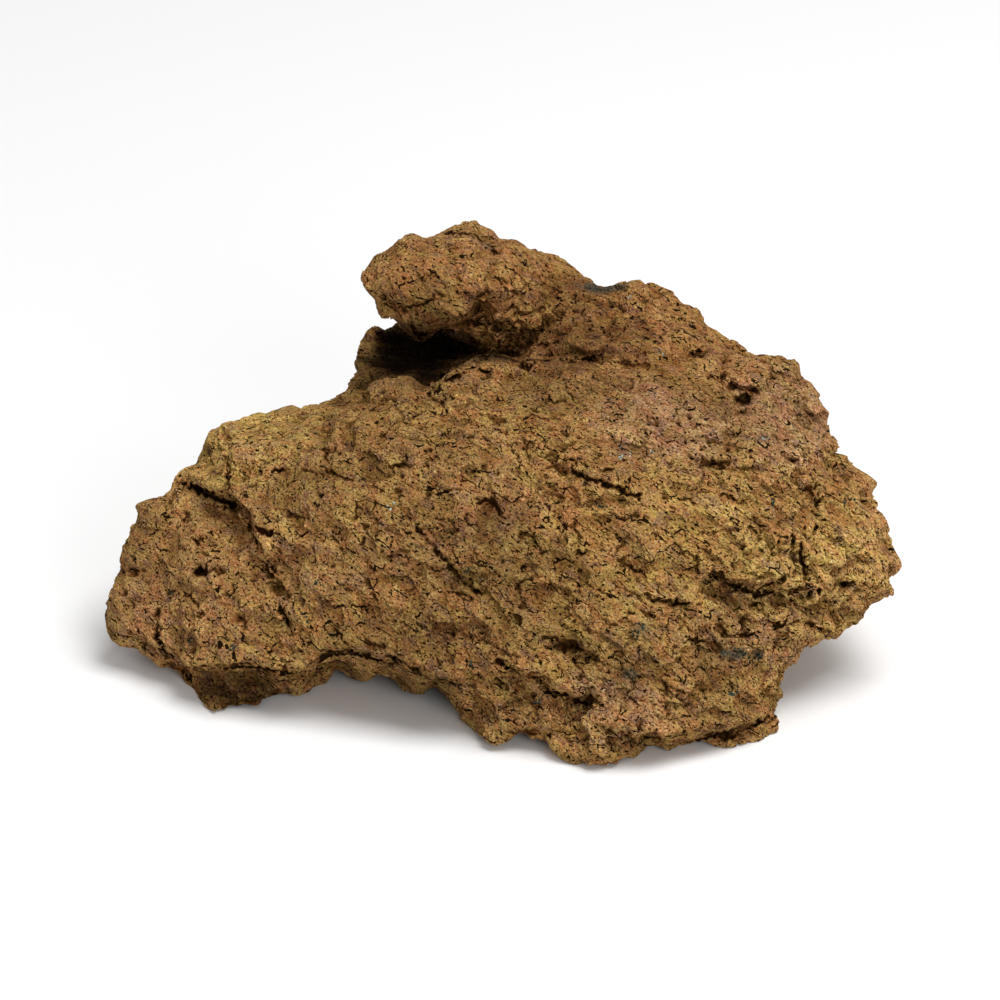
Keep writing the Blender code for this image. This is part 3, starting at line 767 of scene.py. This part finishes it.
def trace(piece):
    """Moves the points by the traced features. Gives how well the camera sees each, from 0 to 1."""
    points = points_of(piece)
    board = on_board(points)
    ragged = [seen + high * waves(points, wide, seed) for seen, (high, wide, seed) in zip(board, RAGGED)]
    push = np.zeros(len(points))
    sunk = np.zeros(len(points))
    gap_half, gap_depth = GAP
    mean, high, wide, seed = GAP_OPEN
    open_gap = smooth(mean + high * waves(points, wide, seed))
    for up, down, reach, line in LEDGES.values():
        side = along_line(ragged, line)
        above = up * np.clip(1 - side / reach, 0, 1) ** 2
        below = -down * np.clip(1 + side / (SINKING * reach), 0, 1) ** 2
        step = smooth((side + SOFT) / (2 * SOFT))
        push += np.where(np.abs(side) < reach, step * above + (1 - step) * below, 0)
        gap = gap_depth * open_gap * smooth(FADES["gap"] - np.abs(side + gap_half) / gap_half)
        sunk = np.maximum(sunk, np.where(side < 0, gap, 0))
    for u, v, wide, high, depth in DENTS.values():
        push -= depth * smooth(FADES["dent"] - off_middle(ragged, u, v, wide, high))
    for half_width, height, line in SWELLS.values():
        push += height * smooth(FADES["swell"] - np.abs(along_line(board, line)) / half_width)
    for half_width, depth, line in CRACKS.values():
        away = np.abs(along_line(ragged, line))
        sunk = np.maximum(sunk, depth * smooth(FADES["crack"] - away / half_width))
    for u, v, wide, high, depth in HOLES.values():
        sunk = np.maximum(sunk, depth * smooth(FADES["hole"] - off_middle(ragged, u, v, wide, high)))
    facing = normals_of(piece) @ np.array(TO_EYE)
    shown = softened(piece, seen_points(board, facing), SHOWN_ROUNDS)
    move_points(piece, points + np.outer((push - sunk) * shown, TO_EYE))
    # sunk grows by the traced gaps, cracks and holes; the material paints shade by it.
    before = read_numbers(piece, "sunk")
    rewrite_numbers(piece, "sunk", np.maximum(before, sunk * shown))
    return shown


shown = trace(skin)
print("traced", len(LEDGES), "ledges,", len(CRACKS), "cracks and", len(HOLES), "holes")

# %% [markdown]
# ## Thin the skin out
#
# Even cells spend as many points on a flat spot as on a gas hole. A Decimate modifier takes them out where
# the skin is flat. It runs twice, each time on the points of a vertex group: first hard on the sides that
# the camera doesn't see, then gently on those that it sees. Retopology by hand would give neater faces, but
# no one looks at the wires of a stone. A few points still stand out like thorns, and these are drawn in.
# Points that ended up under the ground are lifted onto it.

# %% Thin out
TRIANGLES = 199000
BEHIND = 62000  # of them, on the sides that the camera doesn't see
UNSEEN = 0.05  # share of being shown, under which a point counts as hidden
MOSTLY = 0.5  # from where a share between no and yes counts as yes
ONLY_CHOSEN = 1000.0  # makes the modifier leave the points alone that aren't in the group
THORN = 0.65  # mm, how far a point may stand out from the middle of its neighbours
THORN_ROUNDS = 3
THORN_REACH = 2  # rounds of softening that the middle is worked out with


def triangle_count(piece):
    """How many triangles the piece has."""
    return sum(len(face.vertices) - 2 for face in piece.data.polygons)


def thin_out(piece, chosen, fewer):
    """Takes so many triangles out of the part of the piece where the points are chosen."""
    group = piece.vertex_groups.new(name="thin")
    group.add(np.nonzero(chosen)[0].tolist(), 1.0, "REPLACE")
    thinning = piece.modifiers.new("thinning", "DECIMATE")
    thinning.ratio = 1 - fewer / triangle_count(piece)
    thinning.use_collapse_triangulate = True
    thinning.vertex_group = group.name
    thinning.vertex_group_factor = ONLY_CHOSEN
    work_in(piece)
    piece.vertex_groups.clear()


def blunt(piece):
    """Draws in the points that stand out like thorns."""
    for _ in range(THORN_ROUNDS):
        points = points_of(piece)
        away = softened(piece, points, THORN_REACH) - points
        far = np.linalg.norm(away, axis=1)
        outward = np.einsum("ij,ij->i", away, normals_of(piece)) < 0
        share = np.where(outward, 1 - THORN / np.maximum(far, THORN), 0)
        print("thorns:", int(np.sum(share > 0)), "of", len(points))
        move_points(piece, points + away * share[:, None])


hidden = shown < UNSEEN
write_numbers(skin, "hidden", hidden.astype(float))
behind = triangle_count(skin) * float(np.mean(hidden))
thin_out(skin, hidden, behind - BEHIND)
in_view = read_numbers(skin, "hidden") < MOSTLY
thin_out(skin, in_view, triangle_count(skin) - TRIANGLES)
skin.data.validate()  # drops the few faces that the thinning folded onto others
print("triangles:", triangle_count(skin))
blunt(skin)
level = points_of(skin)
level[:, 2] = np.maximum(level[:, 2], 0)
move_points(skin, level)

# %% [markdown]
# ## Hollows and edges
#
# The material paints shade into hollows and makes edges paler. We compare each point with its neighbours'
# average:
# a point below them is in a hollow, one above them on an edge. Averaging a few times tells wider hollows.
# The renderer's own pointiness would need no attribute, but it sees one point's width only, and the chips
# can't ask it where an edge is too sharp for them.

# %% Hollows
WIDE_ROUNDS = 12
PRINTED = (2, 98)  # percentiles


def hollowness(piece):
    """How far each point lies under the smoothed skin, in millimetres. Edges are below zero."""
    points = points_of(piece)
    away = softened(piece, points, WIDE_ROUNDS) - points
    return np.einsum("ij,ij->i", away, normals_of(piece))


hollow = hollowness(skin)
write_numbers(skin, "hollow", hollow)
print("edges and hollows in mm:", np.percentile(hollow, PRINTED).round(2))

# %% [markdown]
# ## Tints: where the rust is red, ochre or plum, with painted shade and light
#
# Iron in the lava rusted in patches. First a list of tones makes parts of the brown ground darker or
# lighter, partly as the stone's own tone and partly as painted shade and painted light. Then oval patches of
# other colours with wobbly borders are painted over it, one after another; the umber and sand patches, and
# the yellow ones on the right lobe, are partly painted shade and painted light as well.
# What is stored for each point is a share of plain brown, so the material can multiply its own small
# variation by it. Slate is bare lava without rust, and such points are marked as clean. The dark patches in
# the hollow, right under the chin and above the crest are painted shade, near black. Slate and this painted
# shade lie on what the camera sees and only reach so far back, or they would darken the back too.
# A painter's brush would do all this as well, but patches in a list can be moved by a millimetre.

# %% Tints
# dark is the near-black colour of painted shade.
PALETTE = {
    "brown": (158, 117, 64), "ochre": (178, 138, 76), "yellow": (194, 156, 84), "olive": (164, 132, 66),
    "rust": (154, 98, 54), "plum": (120, 82, 60), "pink": (186, 142, 106), "pale": (214, 180, 128),
    "sand_and_light": (188, 138, 86), "umber_and_shade": (122, 88, 46), "slate": (64, 68, 60), "dark": (16, 12, 7),
    "augite": (54, 66, 56), "feldspar": (176, 190, 176), "straw": (222, 190, 104),
}
# Umber and sand patches, and the yellow ones on the right lobe, are partly painted shade and painted light,
# partly the stone's own colour.
PATCHES = [  # colour, u, v, half width, half height, strength
    ("rust", 0, 50, 110, 17, 0.4), ("rust", 40, 42, 40, 14, 0.35), ("brown", -15, 57, 20, 10, 0.5),
    ("sand_and_light", -8, 68, 14, 6, 0.6), ("umber_and_shade", 18, 42, 14, 5, 0.5), ("ochre", -52, -10, 14, 12, 0.2),
    ("yellow", -66, 14, 16, 9, 1.0), ("yellow", -55, 22, 12, 5, 0.7), ("rust", -76, -16, 20, 22, 0.2),
    ("sand_and_light", -80, -22, 14, 20, 0.5), ("sand_and_light", -58, -16, 8, 12, 0.4), ("ochre", 55, -8, 30, 18, 0.6),
    ("ochre", 12, -20, 30, 10, 0.4), ("yellow", 84, -12, 14, 12, 0.6), ("sand_and_light", 94, -12, 8, 20, 0.5),
    ("sand_and_light", 72, -34, 8, 8, 0.6), ("pink", 40, 20, 16, 9, 0.7), ("plum", -4, -3, 12, 8, 0.4),
    ("plum", -20, -14, 10, 9, 0.4), ("plum", -45, -17, 9, 7, 0.4), ("rust", 22, -6, 12, 8, 0.25),
    ("umber_and_shade", 1, -13, 8, 7, 0.4), ("umber_and_shade", 2, -28, 30, 7, 0.5), ("umber_and_shade", -18, -40, 12, 7, 0.5),
    ("umber_and_shade", 52, -47, 8, 7, 0.4), ("rust", 70, -5, 5, 5, 0.6), ("plum", 60, -38, 14, 7, 0.6),
    ("pink", 72, 20, 12, 12, 0.6), ("sand_and_light", 60, 32, 10, 5, 0.5), ("umber_and_shade", -68, -47, 16, 4, 0.5),
    ("rust", -12, 57, 22, 9, 0.15), ("yellow", 82, -20, 16, 13, 0.7), ("sand_and_light", 72, -36, 10, 9, 0.5),
    ("yellow", 54, -8, 12, 9, 0.4), ("yellow", -76, 4, 8, 6, 0.5), ("olive", 50, -30, 40, 26, 0.25),
    ("dark", -21.5, 36.4, 12.5, 8, 0.95), ("dark", -11, 39.6, 6, 2.6, 0.85),
    ("dark", -27, 41.8, 5, 2.6, 0.85), ("dark", -4, 36, 10, 1.8, 0.85), ("umber_and_shade", -36, 31, 6, 9, 0.5),
    ("pink", 30, -52, 20, 8, 0.3), ("sand_and_light", -88, -30, 8, 10, 0.5), ("slate", 25, 53.2, 6, 1.4, 0.85),
    ("slate", -3.4, 63, 1.8, 1.1, 0.45), ("slate", 59, -38.5, 3.4, 1.4, 0.8),
    ("slate", 64.5, -38.6, 1.6, 1.4, 0.8), ("slate", 32.5, -43.5, 2.4, 1.8, 0.6),
    ("slate", 35.5, -32, 2, 1.4, 0.5),
]
SLATE_AND_PAINTED_SHADE = ("slate", "dark")
SEEN_ROUNDS = 4  # rounds of softening at the border of what the camera sees
REACH_EDGE = 1.5  # how far back a colour fades out, in shares of its reach
DEEPEST = 40.0  # mm, the way back into the hollow
THIN_RUST = 0.45  # how much of a patch's strength is used, since the patches overlap
# Partly the stone's own tone, partly painted shade and painted light.
TONES_AND_PAINTED_LIGHT = [  # u, v, half width, half height, brightness
    (18, 39, 11, 6, 0.36), (30, 39, 10, 5, 0.6), (17, 51, 9, 5, 0.55), (-14, 50, 12, 6, 0.66),
    (14, 28, 14, 6, 0.7), (-18, 27, 8, 4, 0.76), (42, 27, 20, 6, 0.84), (-6, 39, 7, 5, 1.35),
    (0, -14, 13, 12, 0.66), (-24, -34, 17, 7, 0.66), (-18, -45, 8, 4, 0.6), (6, -31, 12, 8, 0.77),
    (29, -39, 10, 8, 0.76), (53, -41, 7, 7, 0.62), (-66, -47, 12, 4.5, 0.5), (-89, -12, 6, 12, 0.77),
    (-48, 3, 13, 7, 0.82), (-66, -9, 8, 6, 1.26), (-78, 4, 7, 5, 1.4), (-66, 15, 10, 8, 1.24),
    (80, -24, 18, 9, 1.18), (68, -36, 12, 10, 1.2), (72, 1, 14, 9, 1.1), (90, -8, 10, 14, 1.15),
    (17, -57, 8, 5, 1.28), (41, -57, 8, 5, 1.13), (-28, 12, 24, 8, 0.92), (-20, -4, 12, 10, 0.86),
    (-10, 60, 22, 12, 0.86), (-13, 52, 8, 5, 0.88), (-80, -44, 8, 4, 1.2), (-90, -26, 7, 14, 0.82),
    (6, -54, 9, 5, 0.84), (53, -54, 8, 5, 0.86), (62, 20, 16, 8, 0.86), (29, -46, 8, 5, 0.8),
]


def linear(colour):
    """A colour as screens store it, 0 to 255, brought by the sRGB curve to the scale that light adds in."""
    share = np.array(colour) / 255
    return np.where(share <= 0.04045, share / 12.92, ((share + 0.055) / 1.055) ** 2.4)


def write_tint(piece, colours):
    """Stores the points' colours as shares of plain brown."""
    shares = colours / linear(PALETTE["brown"])
    write_numbers(piece, "tint", np.column_stack([shares, np.ones(len(shares))]))


def paint(piece):
    """Stores the tint of each point, painted shade and light included, and how clean of rust it is."""
    points = points_of(piece)
    board = on_board(points)
    tint = np.tile(linear(PALETTE["brown"]), (len(points), 1))
    for u, v, wide, high, brighter in TONES_AND_PAINTED_LIGHT:
        tint *= 1 + (brighter - 1) * patch(board, points, u, v, wide, high)[:, None]
    clean = np.zeros(len(points))
    seen = softened(piece, 1 - read_numbers(piece, "hidden"), SEEN_ROUNDS)
    for name, u, v, wide, high, strength in PATCHES:
        much = strength * patch(board, points, u, v, wide, high)
        # The dark patches are painted shade; they and slate stay on what the camera sees, near the depth
        # where they lie.
        if name in SLATE_AND_PAINTED_SHADE:
            depth = np.median(board[2][(much > strength / 2) & (seen > MOSTLY)])
            reach = max(wide, DEEPEST) if name == "dark" else wide
            much *= seen * smooth(REACH_EDGE - np.abs(board[2] - depth) / reach)
            clean = np.maximum(clean, much * (name == "slate"))
        else:
            much *= THIN_RUST
        tint = tint * (1 - much[:, None]) + linear(PALETTE[name]) * much[:, None]
    write_tint(piece, tint)
    write_numbers(piece, "clean", clean)


paint(skin)
print("painted", len(TONES_AND_PAINTED_LIGHT), "tones and", len(PATCHES), "patches")

# %% [markdown]
# ## The scoria material
#
# The finest gas holes and flakes are at most a millimetre or two wide, too many to model, so the material
# draws them. Flakes are Voronoi cells, each at its own tilt for the bump. Under a flake that stands out more
# than the one below it, a dark gap is painted as its shadow: the tree looks up the cell a little higher and
# compares the two. Noise drawn out along the flow adds grain, and specks and pits that are painted dark as
# shade in pores, and mixes ochre, rust and plum at several sizes. Deep holes, cracks and hollows are darkened
# as painted shade too, and edges made paler. Dark places turn redder, as painted light bounced inside the
# stone, and bright ones paler, as a painted highlight; dark and bright come partly from the stone's own grain
# too. A photographic texture would show one real stone in full, but only from one side and in one light.

# %% Scoria
# The gaps under flakes are painted shadow: a dark line where a higher flake's lower edge would shade the one
# below.
FLAKES = {  # width in mm, seed, how far up the next cell is looked for, where a gap begins and is full
    "small": (0.85, 1.0, 0.31, 0.12, 0.22),
    "wide": (2.1, 4.0, 0.17, 0.22, 0.32),
}
FLAKE_BUMP = {"wide": 1.0, "small": 0.42}  # mm of height for each unit of slope
GRAIN_BUMP = 0.4
SPECK_BUMP = 0.3
SMALL_GAP_DARK = 0.65  # how dark small gaps are, against wide ones
CALMING = 0.2  # how much calm places close the small gaps
DRIFT = (1.1, 0.8)  # width and strength of the wobble of the flow
DRIFT_DETAIL = 2.0
FLOW_LENGTH = 1.9  # how many times longer flakes and grains are along the flow
NOISES = {  # along the flow or not, width, detail, roughness
    "blotch": (True, 2.8, 3.0, 0.6), "grain": (True, 0.36, 1.0, 0.6), "mottle": (False, 9.0, 2.0, 0.5),
    "speck": (True, 0.5, 1.0, 0.5), "pit": (True, 1.3, 1.0, 0.5), "open": (False, 3.2, 2.0, 0.5),
    "broken": (False, 0.7, 1.0, 0.5),
}
THREEFOLD = ("blotch", "grain", "mottle")  # noises whose colour is read as three separate numbers
RUST_COLOURS = (  # noise and which of its three parts, where it begins and is full, strength, colour
    ("mottle", 1, 0.5, 0.66, 0.4, "plum"), ("mottle", 1, 0.48, 0.34, 0.4, "olive"),
    ("blotch", 0, 0.46, 0.56, 0.8, "rust"), ("blotch", 1, 0.48, 0.62, 0.6, "olive"),
    ("blotch", 2, 0.54, 0.64, 0.8, "plum"), ("grain", 1, 0.52, 0.7, 0.35, "pale"),
    ("grain", 1, 0.48, 0.3, 0.45, "rust"), ("grain", 2, 0.52, 0.7, 0.5, "olive"),
    ("grain", 2, 0.48, 0.3, 0.45, "slate"),
)
# grain and mottle are the stone's own tone. dark, sunk and hollow are painted shade: dark in the gaps under
# flakes, in specks and in pits, sunk in deep holes and cracks, hollow in hollows, where it also makes edges
# paler.
BRIGHTNESS = {  # two values, and the brightness at each
    "grain": (0.25, 0.75, 0.68, 1.38), "mottle": (0.3, 0.7, 0.88, 1.08), "sunk": (0.2, 1.6, 1.0, 0.2),
    "hollow": (-0.3, 0.5, 1.14, 0.74), "dark": (0.0, 1.0, 1.0, 0.04),
}
# Slate and crystals get the same painted shade, more weakly.
BARE_BRIGHTNESS = {"grain": (0.3, 0.7, 0.5, 1.5), "dark": (0.0, 1.0, 1.0, 0.3)}
OPEN_MORE = (0.35, 0.65, 0.08, -0.08)  # how mottling opens the wide gaps
WIDE_GAPS, SMALL_GAPS, BROKEN = (0.38, 0.46), (0.36, 0.48), (0.4, 0.48)  # where noises open them
# Specks and pits are pores painted dark as their shade.
SPECKS, PITS = (0.39, 0.33), (0.3, 0.27)  # where noises are low enough for them
# Painted light: where the brightness is low the colour turns redder, like light bounced inside the stone, and
# where it is high paler, like a highlight. That brightness is partly the stone's grain, partly painted shade.
SHADED = (0.9, 0.3, (1.0, 0.82, 0.58, 1.0))  # where it begins and is full, and the colour of dark places
PALER_WHERE_BRIGHT = (1.0, 1.3, (0.96, 1.04, 1.16, 1.0))  # the same for bright ones
ROUGH, SHEEN = 0.92, 0.04  # the stone is dull all over


def flake_cells(tree, place, size, seed):
    """Voronoi cells for the flakes of one size: the scaled place, and the node that finds the cell."""
    here = vector_calc(tree, "ADD", scaled(tree, place, 1 / size), shift(seed))
    return here, add(tree, "ShaderNodeTexVoronoi", {"Vector": here, "Scale": 1.0})


def flake_slope(tree, here, found):
    """The height of the flakes, each at its own tilt, in shares of their width."""
    offset = vector_calc(tree, "SUBTRACT", here, found.outputs["Position"])
    return vector_calc(tree, "DOT_PRODUCT", offset, tilt_of(tree, found.outputs["Color"]))


def first_part(tree, colour):
    """The first of a colour's three numbers."""
    return add(tree, "ShaderNodeSeparateXYZ", {0: colour}).outputs[0]


def shadow_under(tree, here, found, rise, least, most):
    """1 where a flake that stands out more lies right above: the painted shadow under its lower edge."""
    higher = vector_calc(tree, "ADD", here, (0, 0, rise))
    above = add(tree, "ShaderNodeTexVoronoi", {"Vector": higher, "Scale": 1.0})
    difference = calc(tree, "SUBTRACT", first_part(tree, above.outputs["Color"]),
                      first_part(tree, found.outputs["Color"]))
    return ramp(tree, difference, least, most)


def largest(tree, *values):
    """The largest of some numbers."""
    found = values[0]
    for value in values[1:]:
        found = calc(tree, "MAXIMUM", found, value)
    return found


def blend(tree, share, first, second, mode="MIX"):
    """Two colours mixed by a share. The node's sockets 6, 7 and 2 are those for colours."""
    mix = add(tree, "ShaderNodeMix", {0: share, 6: first, 7: second}, data_type="RGBA", blend_type=mode)
    return mix.outputs[2]


def rgba(name):
    """A palette colour for a socket."""
    return (*(float(x) for x in linear(PALETTE[name])), 1.0)


def attribute(tree, name, part="Fac"):
    """What the skin carries under a name, as a number or as a colour."""
    return add(tree, "ShaderNodeAttribute", attribute_name=name).outputs[part]


def brightness(tree, sources, ranges):
    """The product of what each source adds to the brightness."""
    return times(tree, *(ramp(tree, sources[name], *numbers) for name, numbers in ranges.items()))


def painted_shade_places(tree, noises, flakes):
    """Painted shade: 1 in gaps under flakes, in specks and in pits; and the specks alone."""
    gaps = {name: shadow_under(tree, *flakes[name], *FLAKES[name][2:]) for name in FLAKES}
    open_more = ramp(tree, noises["mottle"][0], *OPEN_MORE)
    wide_open = ramp(tree, calc(tree, "ADD", noises["blotch"][1], open_more), *WIDE_GAPS)
    calm = times(tree, attribute(tree, "calm"), CALMING)
    small_open = ramp(tree, calc(tree, "SUBTRACT", noises["open"][0], calm), *SMALL_GAPS)
    broken = ramp(tree, noises["broken"][0], *BROKEN)
    small = times(tree, gaps["small"], SMALL_GAP_DARK, small_open, broken)
    specks = ramp(tree, noises["speck"][0], *SPECKS)
    pits = ramp(tree, noises["pit"][0], *PITS)
    return largest(tree, small, times(tree, gaps["wide"], wide_open), specks, pits), specks


def scoria_nodes(material):
    """Brown scoria: rusty tints, painted shade in fine gaps, gas holes and hollows, and a grainy bump."""
    material.use_nodes = True
    tree = material.node_tree
    surface = tree.nodes["Principled BSDF"]
    surface.inputs["Roughness"].default_value = ROUGH
    surface.inputs["Specular IOR Level"].default_value = SHEEN
    place = scaled(tree, add(tree, "ShaderNodeTexCoord").outputs["Object"], 1 / MM)
    drift_width, drift_strength = DRIFT
    drift = scaled(tree, noise(tree, place, drift_width, DRIFT_DETAIL).outputs["Color"], drift_strength)
    flow_place = drawn_out(tree, vector_calc(tree, "ADD", place, drift), FLOW_LENGTH)
    noises = {}
    for name, (along_flow, *sizes) in NOISES.items():
        found = noise(tree, flow_place if along_flow else place, *sizes).outputs
        if name in THREEFOLD:
            noises[name] = add(tree, "ShaderNodeSeparateXYZ", {0: found["Color"]}).outputs
        else:
            noises[name] = found
    flakes = {name: flake_cells(tree, flow_place, *FLAKES[name][:2]) for name in FLAKES}
    dark, specks = painted_shade_places(tree, noises, flakes)

    colour = rgba("brown")
    for name, part, begins, full, strength, other in RUST_COLOURS:
        share = ramp(tree, noises[name][part], begins, full, 0.0, strength)
        colour = blend(tree, share, colour, rgba(other))
    sources = {"grain": noises["grain"][0], "mottle": noises["mottle"][0], "dark": dark,
               "sunk": attribute(tree, "sunk"), "hollow": attribute(tree, "hollow")}
    # The stone's grain and mottle, times painted shade.
    value = brightness(tree, sources, BRIGHTNESS)
    for begins, full, shade in (SHADED, PALER_WHERE_BRIGHT):
        colour = blend(tree, ramp(tree, value, begins, full), colour, shade, "MULTIPLY")
    tint = attribute(tree, "tint", "Color")
    rusty = scaled(tree, vector_calc(tree, "MULTIPLY", colour, tint), value)
    bare = vector_calc(tree, "MULTIPLY", tint, rgba("brown")[:3])
    bare = scaled(tree, bare, brightness(tree, sources, BARE_BRIGHTNESS))
    shown_colour = blend(tree, attribute(tree, "clean"), rusty, bare)
    tree.links.new(shown_colour, surface.inputs["Base Color"])

    height = times(tree, noises["grain"][0], GRAIN_BUMP)
    for name, bump in FLAKE_BUMP.items():
        height = calc(tree, "ADD", height, times(tree, flake_slope(tree, *flakes[name]), bump))
    height = calc(tree, "SUBTRACT", height, times(tree, specks, SPECK_BUMP))
    bump = add(tree, "ShaderNodeBump", {"Height": height, "Distance": MM, "Strength": 1.0})
    tree.links.new(bump.outputs[0], surface.inputs["Normal"])


scoria_nodes(scoria)
print("material:", scoria.name, "with", len(scoria.node_tree.nodes), "nodes")

# %% [markdown]
# ## Loose chips
#
# Where the stone flakes, small chips still cling to it, flat on its face and mostly longer along the flow.
# Geometry Nodes scatter them: points on the skin, more of them where it is flaky, and on each point one
# chip, turned to lie on the face. A particle system would do the same, but its instances are lost when the
# stone is exported. Realizing them joins all in one plain mesh.

# %% Chips
CHIP_WIDTH = 1.5  # mm across the flow, for a chip of size 1
CHIP_SHAPE = (1.6, 1.0, 0.35)  # its length, width and thickness in shares of that
CHIP_SIZES = (0.3, 0.9)
CHIP_TILT = (0.15, 0.15, 0.5)  # radians, how far chips are turned at random about their three axes
CHIP_SEEDS = {"scatter": 4, "tilt": 7, "size": 9}
CHIP_LUMP = 1.7  # scale of the noise that makes the chips uneven
MEAN_COLOUR = (0.5, 0.5, 0.5)  # of that noise
BALL = 0.5  # radius of a ball that is one unit wide
CHIPS_PER_MM2 = 0.09
RANDOM_SOCKETS = {"FLOAT": (2, 3, 1), "FLOAT_VECTOR": (0, 1, 0)}  # of the random node: low, high, result
BLUNT = -0.15  # mm of hollowness, under which an edge is too sharp for a chip to cling to
CHIP_FLOOR = 4.0  # mm above the ground, under which no chip clings


def random_value(tree, kind, low, high, seed):
    """A different value for each point, between two others."""
    least, most, result = RANDOM_SOCKETS[kind]
    node = add(tree, "FunctionNodeRandomValue", {least: low, most: high, "Seed": seed}, data_type=kind)
    return node.outputs[result]


def chips_tree():
    """The tree that replaces a skin by the chips that cling to it."""
    tree, given = new_tree("scatter", {"Chips per mm2": "Float", "Width": "Float", "Seed": "Int",
                                       "Material": "Material"})
    place = add(tree, "GeometryNodeInputPosition").outputs[0]
    height = add(tree, "ShaderNodeSeparateXYZ", {0: place}).outputs["Z"]
    high_enough = calc(tree, "GREATER_THAN", height, CHIP_FLOOR * MM)
    blunt_enough = calc(tree, "GREATER_THAN", carried(tree, "hollow"), BLUNT)
    flaky_here = times(tree, carried(tree, "flaky"), high_enough, blunt_enough)
    density = times(tree, flaky_here, given["Chips per mm2"], 1 / MM ** 2)
    spread = add(tree, "GeometryNodeDistributePointsOnFaces",
                 {"Mesh": given["Skin"], "Density": density, "Seed": given["Seed"]})
    along = add(tree, "FunctionNodeAlignRotationToVector",
                {"Rotation": spread.outputs["Rotation"], "Vector": FLOW}, axis="X", pivot_axis="Z")
    least = [-angle for angle in CHIP_TILT]
    by = random_value(tree, "FLOAT_VECTOR", least, CHIP_TILT, CHIP_SEEDS["tilt"])
    tilt = add(tree, "FunctionNodeRotateRotation", {"Rotation": along.outputs[0], "Rotate By": by},
               rotation_space="LOCAL")
    chip = add(tree, "GeometryNodeMeshIcoSphere", {"Radius": BALL, "Subdivisions": 1})
    uneven = add(tree, "ShaderNodeTexNoise", {"Scale": CHIP_LUMP, "Detail": 0.0})
    bend = vector_calc(tree, "SUBTRACT", uneven.outputs["Color"], MEAN_COLOUR)
    chip = add(tree, "GeometryNodeSetPosition", {"Geometry": chip.outputs["Mesh"], "Offset": bend})
    chip = add(tree, "GeometryNodeTransform", {"Geometry": chip.outputs[0], "Scale": CHIP_SHAPE})
    size = random_value(tree, "FLOAT", *CHIP_SIZES, CHIP_SEEDS["size"])
    placed = add(tree, "GeometryNodeInstanceOnPoints",
                 {"Points": spread.outputs["Points"], "Instance": chip.outputs[0],
                  "Rotation": tilt.outputs[0], "Scale": times(tree, size, given["Width"], MM)})
    give_back(tree, placed, given["Material"])
    return tree


def scatter_chips(piece, sizes):
    """A new piece: the chips that cling to a skin."""
    chips = put(piece.data.copy())
    chips.name = chips.data.name = "clinging_chips"
    run_tree(chips, chips_tree(), sizes)
    chips.data.name = "clinging_chips"
    return chips


chips = scatter_chips(skin, {"Chips per mm2": CHIPS_PER_MM2, "Width": CHIP_WIDTH,
                             "Seed": CHIP_SEEDS["scatter"], "Material": scoria})
print("chips:", len(chips.data.polygons), "faces")

# %% [markdown]
# ## Crystals
#
# Froth is not all: some crystals had grown before the lava froze, and they still sit in it as small hard
# grains, dark green augite and pale feldspar. Each traced spot gets a few. A ray from the eye through the
# board finds where the skin is, and all grains are joined in one mesh that uses the same material. Paint
# alone could show their colour, but only a solid grain catches the light on its edge.

# %% Crystals
GRAINS_A_SPOT = {"augite": 6, "feldspar": 3, "straw": 4}
GRAIN_WIDTH = (0.5, 1.3)  # mm
GRAIN_FLATNESS = 0.6  # thickness in shares of the width
GRAIN_NARROWING = (0.5, 0.9)  # depth in shares of the width
GRAIN_SEED = 11
SPOT_SPREAD = 0.7  # mm between the grains of a spot
SPOTS = {
    "augite": [(-7.9, -18), (-49, -29.5), (-45, -20.5), (-82, -24), (-77.5, -34.5), (-67, -36.5),
               (24.5, -1.5), (68.5, -1), (88, -0.5), (9.3, -50.5), (-7, -41.5), (60, -37), (64.3, -39.3),
               (58.5, -48), (33, -43.5), (35.5, -32), (34, -34), (56.5, -38.4), (62, -38)],
    "feldspar": [(30.8, 12.3), (32, 10.8), (37, 11.8), (-27.5, -1.5), (33, 50.5), (39.8, 36), (67, 15)],
    "straw": [(-10.2, 25.4), (-9.6, 24.6)],
}


def grains_on(piece, name):
    """A new piece: small crystals that sit in a skin at the traced spots."""
    tree = BVHTree.FromPolygons([point.co / MM for point in piece.data.vertices],
                                [face.vertices for face in piece.data.polygons])
    turn = np.random.default_rng(GRAIN_SEED)
    eye = BOARD_MIDDLE + TO_EYE * EYE
    up = Vector((0, sin(LEAN), cos(LEAN)))
    bm = bmesh.new()
    colours = []
    for kind, spots in SPOTS.items():
        for u, v in spots:
            for _ in range(GRAINS_A_SPOT[kind]):
                du, dv = turn.normal(size=2) * SPOT_SPREAD
                aim = BOARD_MIDDLE + Vector((u + du, 0, 0)) + up * (v + dv)
                found = tree.ray_cast(eye, (aim - eye).normalized())[0]
                width = turn.uniform(*GRAIN_WIDTH)
                spin = Euler(turn.uniform(0, FULL_TURN, 3)).to_matrix().to_4x4()
                depth = width * turn.uniform(*GRAIN_NARROWING)
                shape = Matrix.Diagonal((width, depth, width * GRAIN_FLATNESS, 1))
                if found is not None:
                    at = Matrix.Scale(MM, 4) @ Matrix.Translation(found) @ spin @ shape
                    grain = bmesh.ops.create_icosphere(bm, subdivisions=1, radius=BALL, matrix=at)
                    colours += [linear(PALETTE[kind])] * len(grain["verts"])
    mesh = bpy.data.meshes.new(name)
    bm.to_mesh(mesh)
    bm.free()
    mesh.materials.append(scoria)
    grains = put(mesh)
    write_tint(grains, np.array(colours))
    write_numbers(grains, "clean", np.ones(len(colours)))
    return grains


crystals = grains_on(skin, "crystals")
print("crystals:", len(crystals.data.polygons), "faces")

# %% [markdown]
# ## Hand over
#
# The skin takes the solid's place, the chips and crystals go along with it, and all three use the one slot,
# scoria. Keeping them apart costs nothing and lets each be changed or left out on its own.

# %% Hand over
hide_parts("lava_rock")
for piece in (skin, chips, crystals):
    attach(piece, "root")
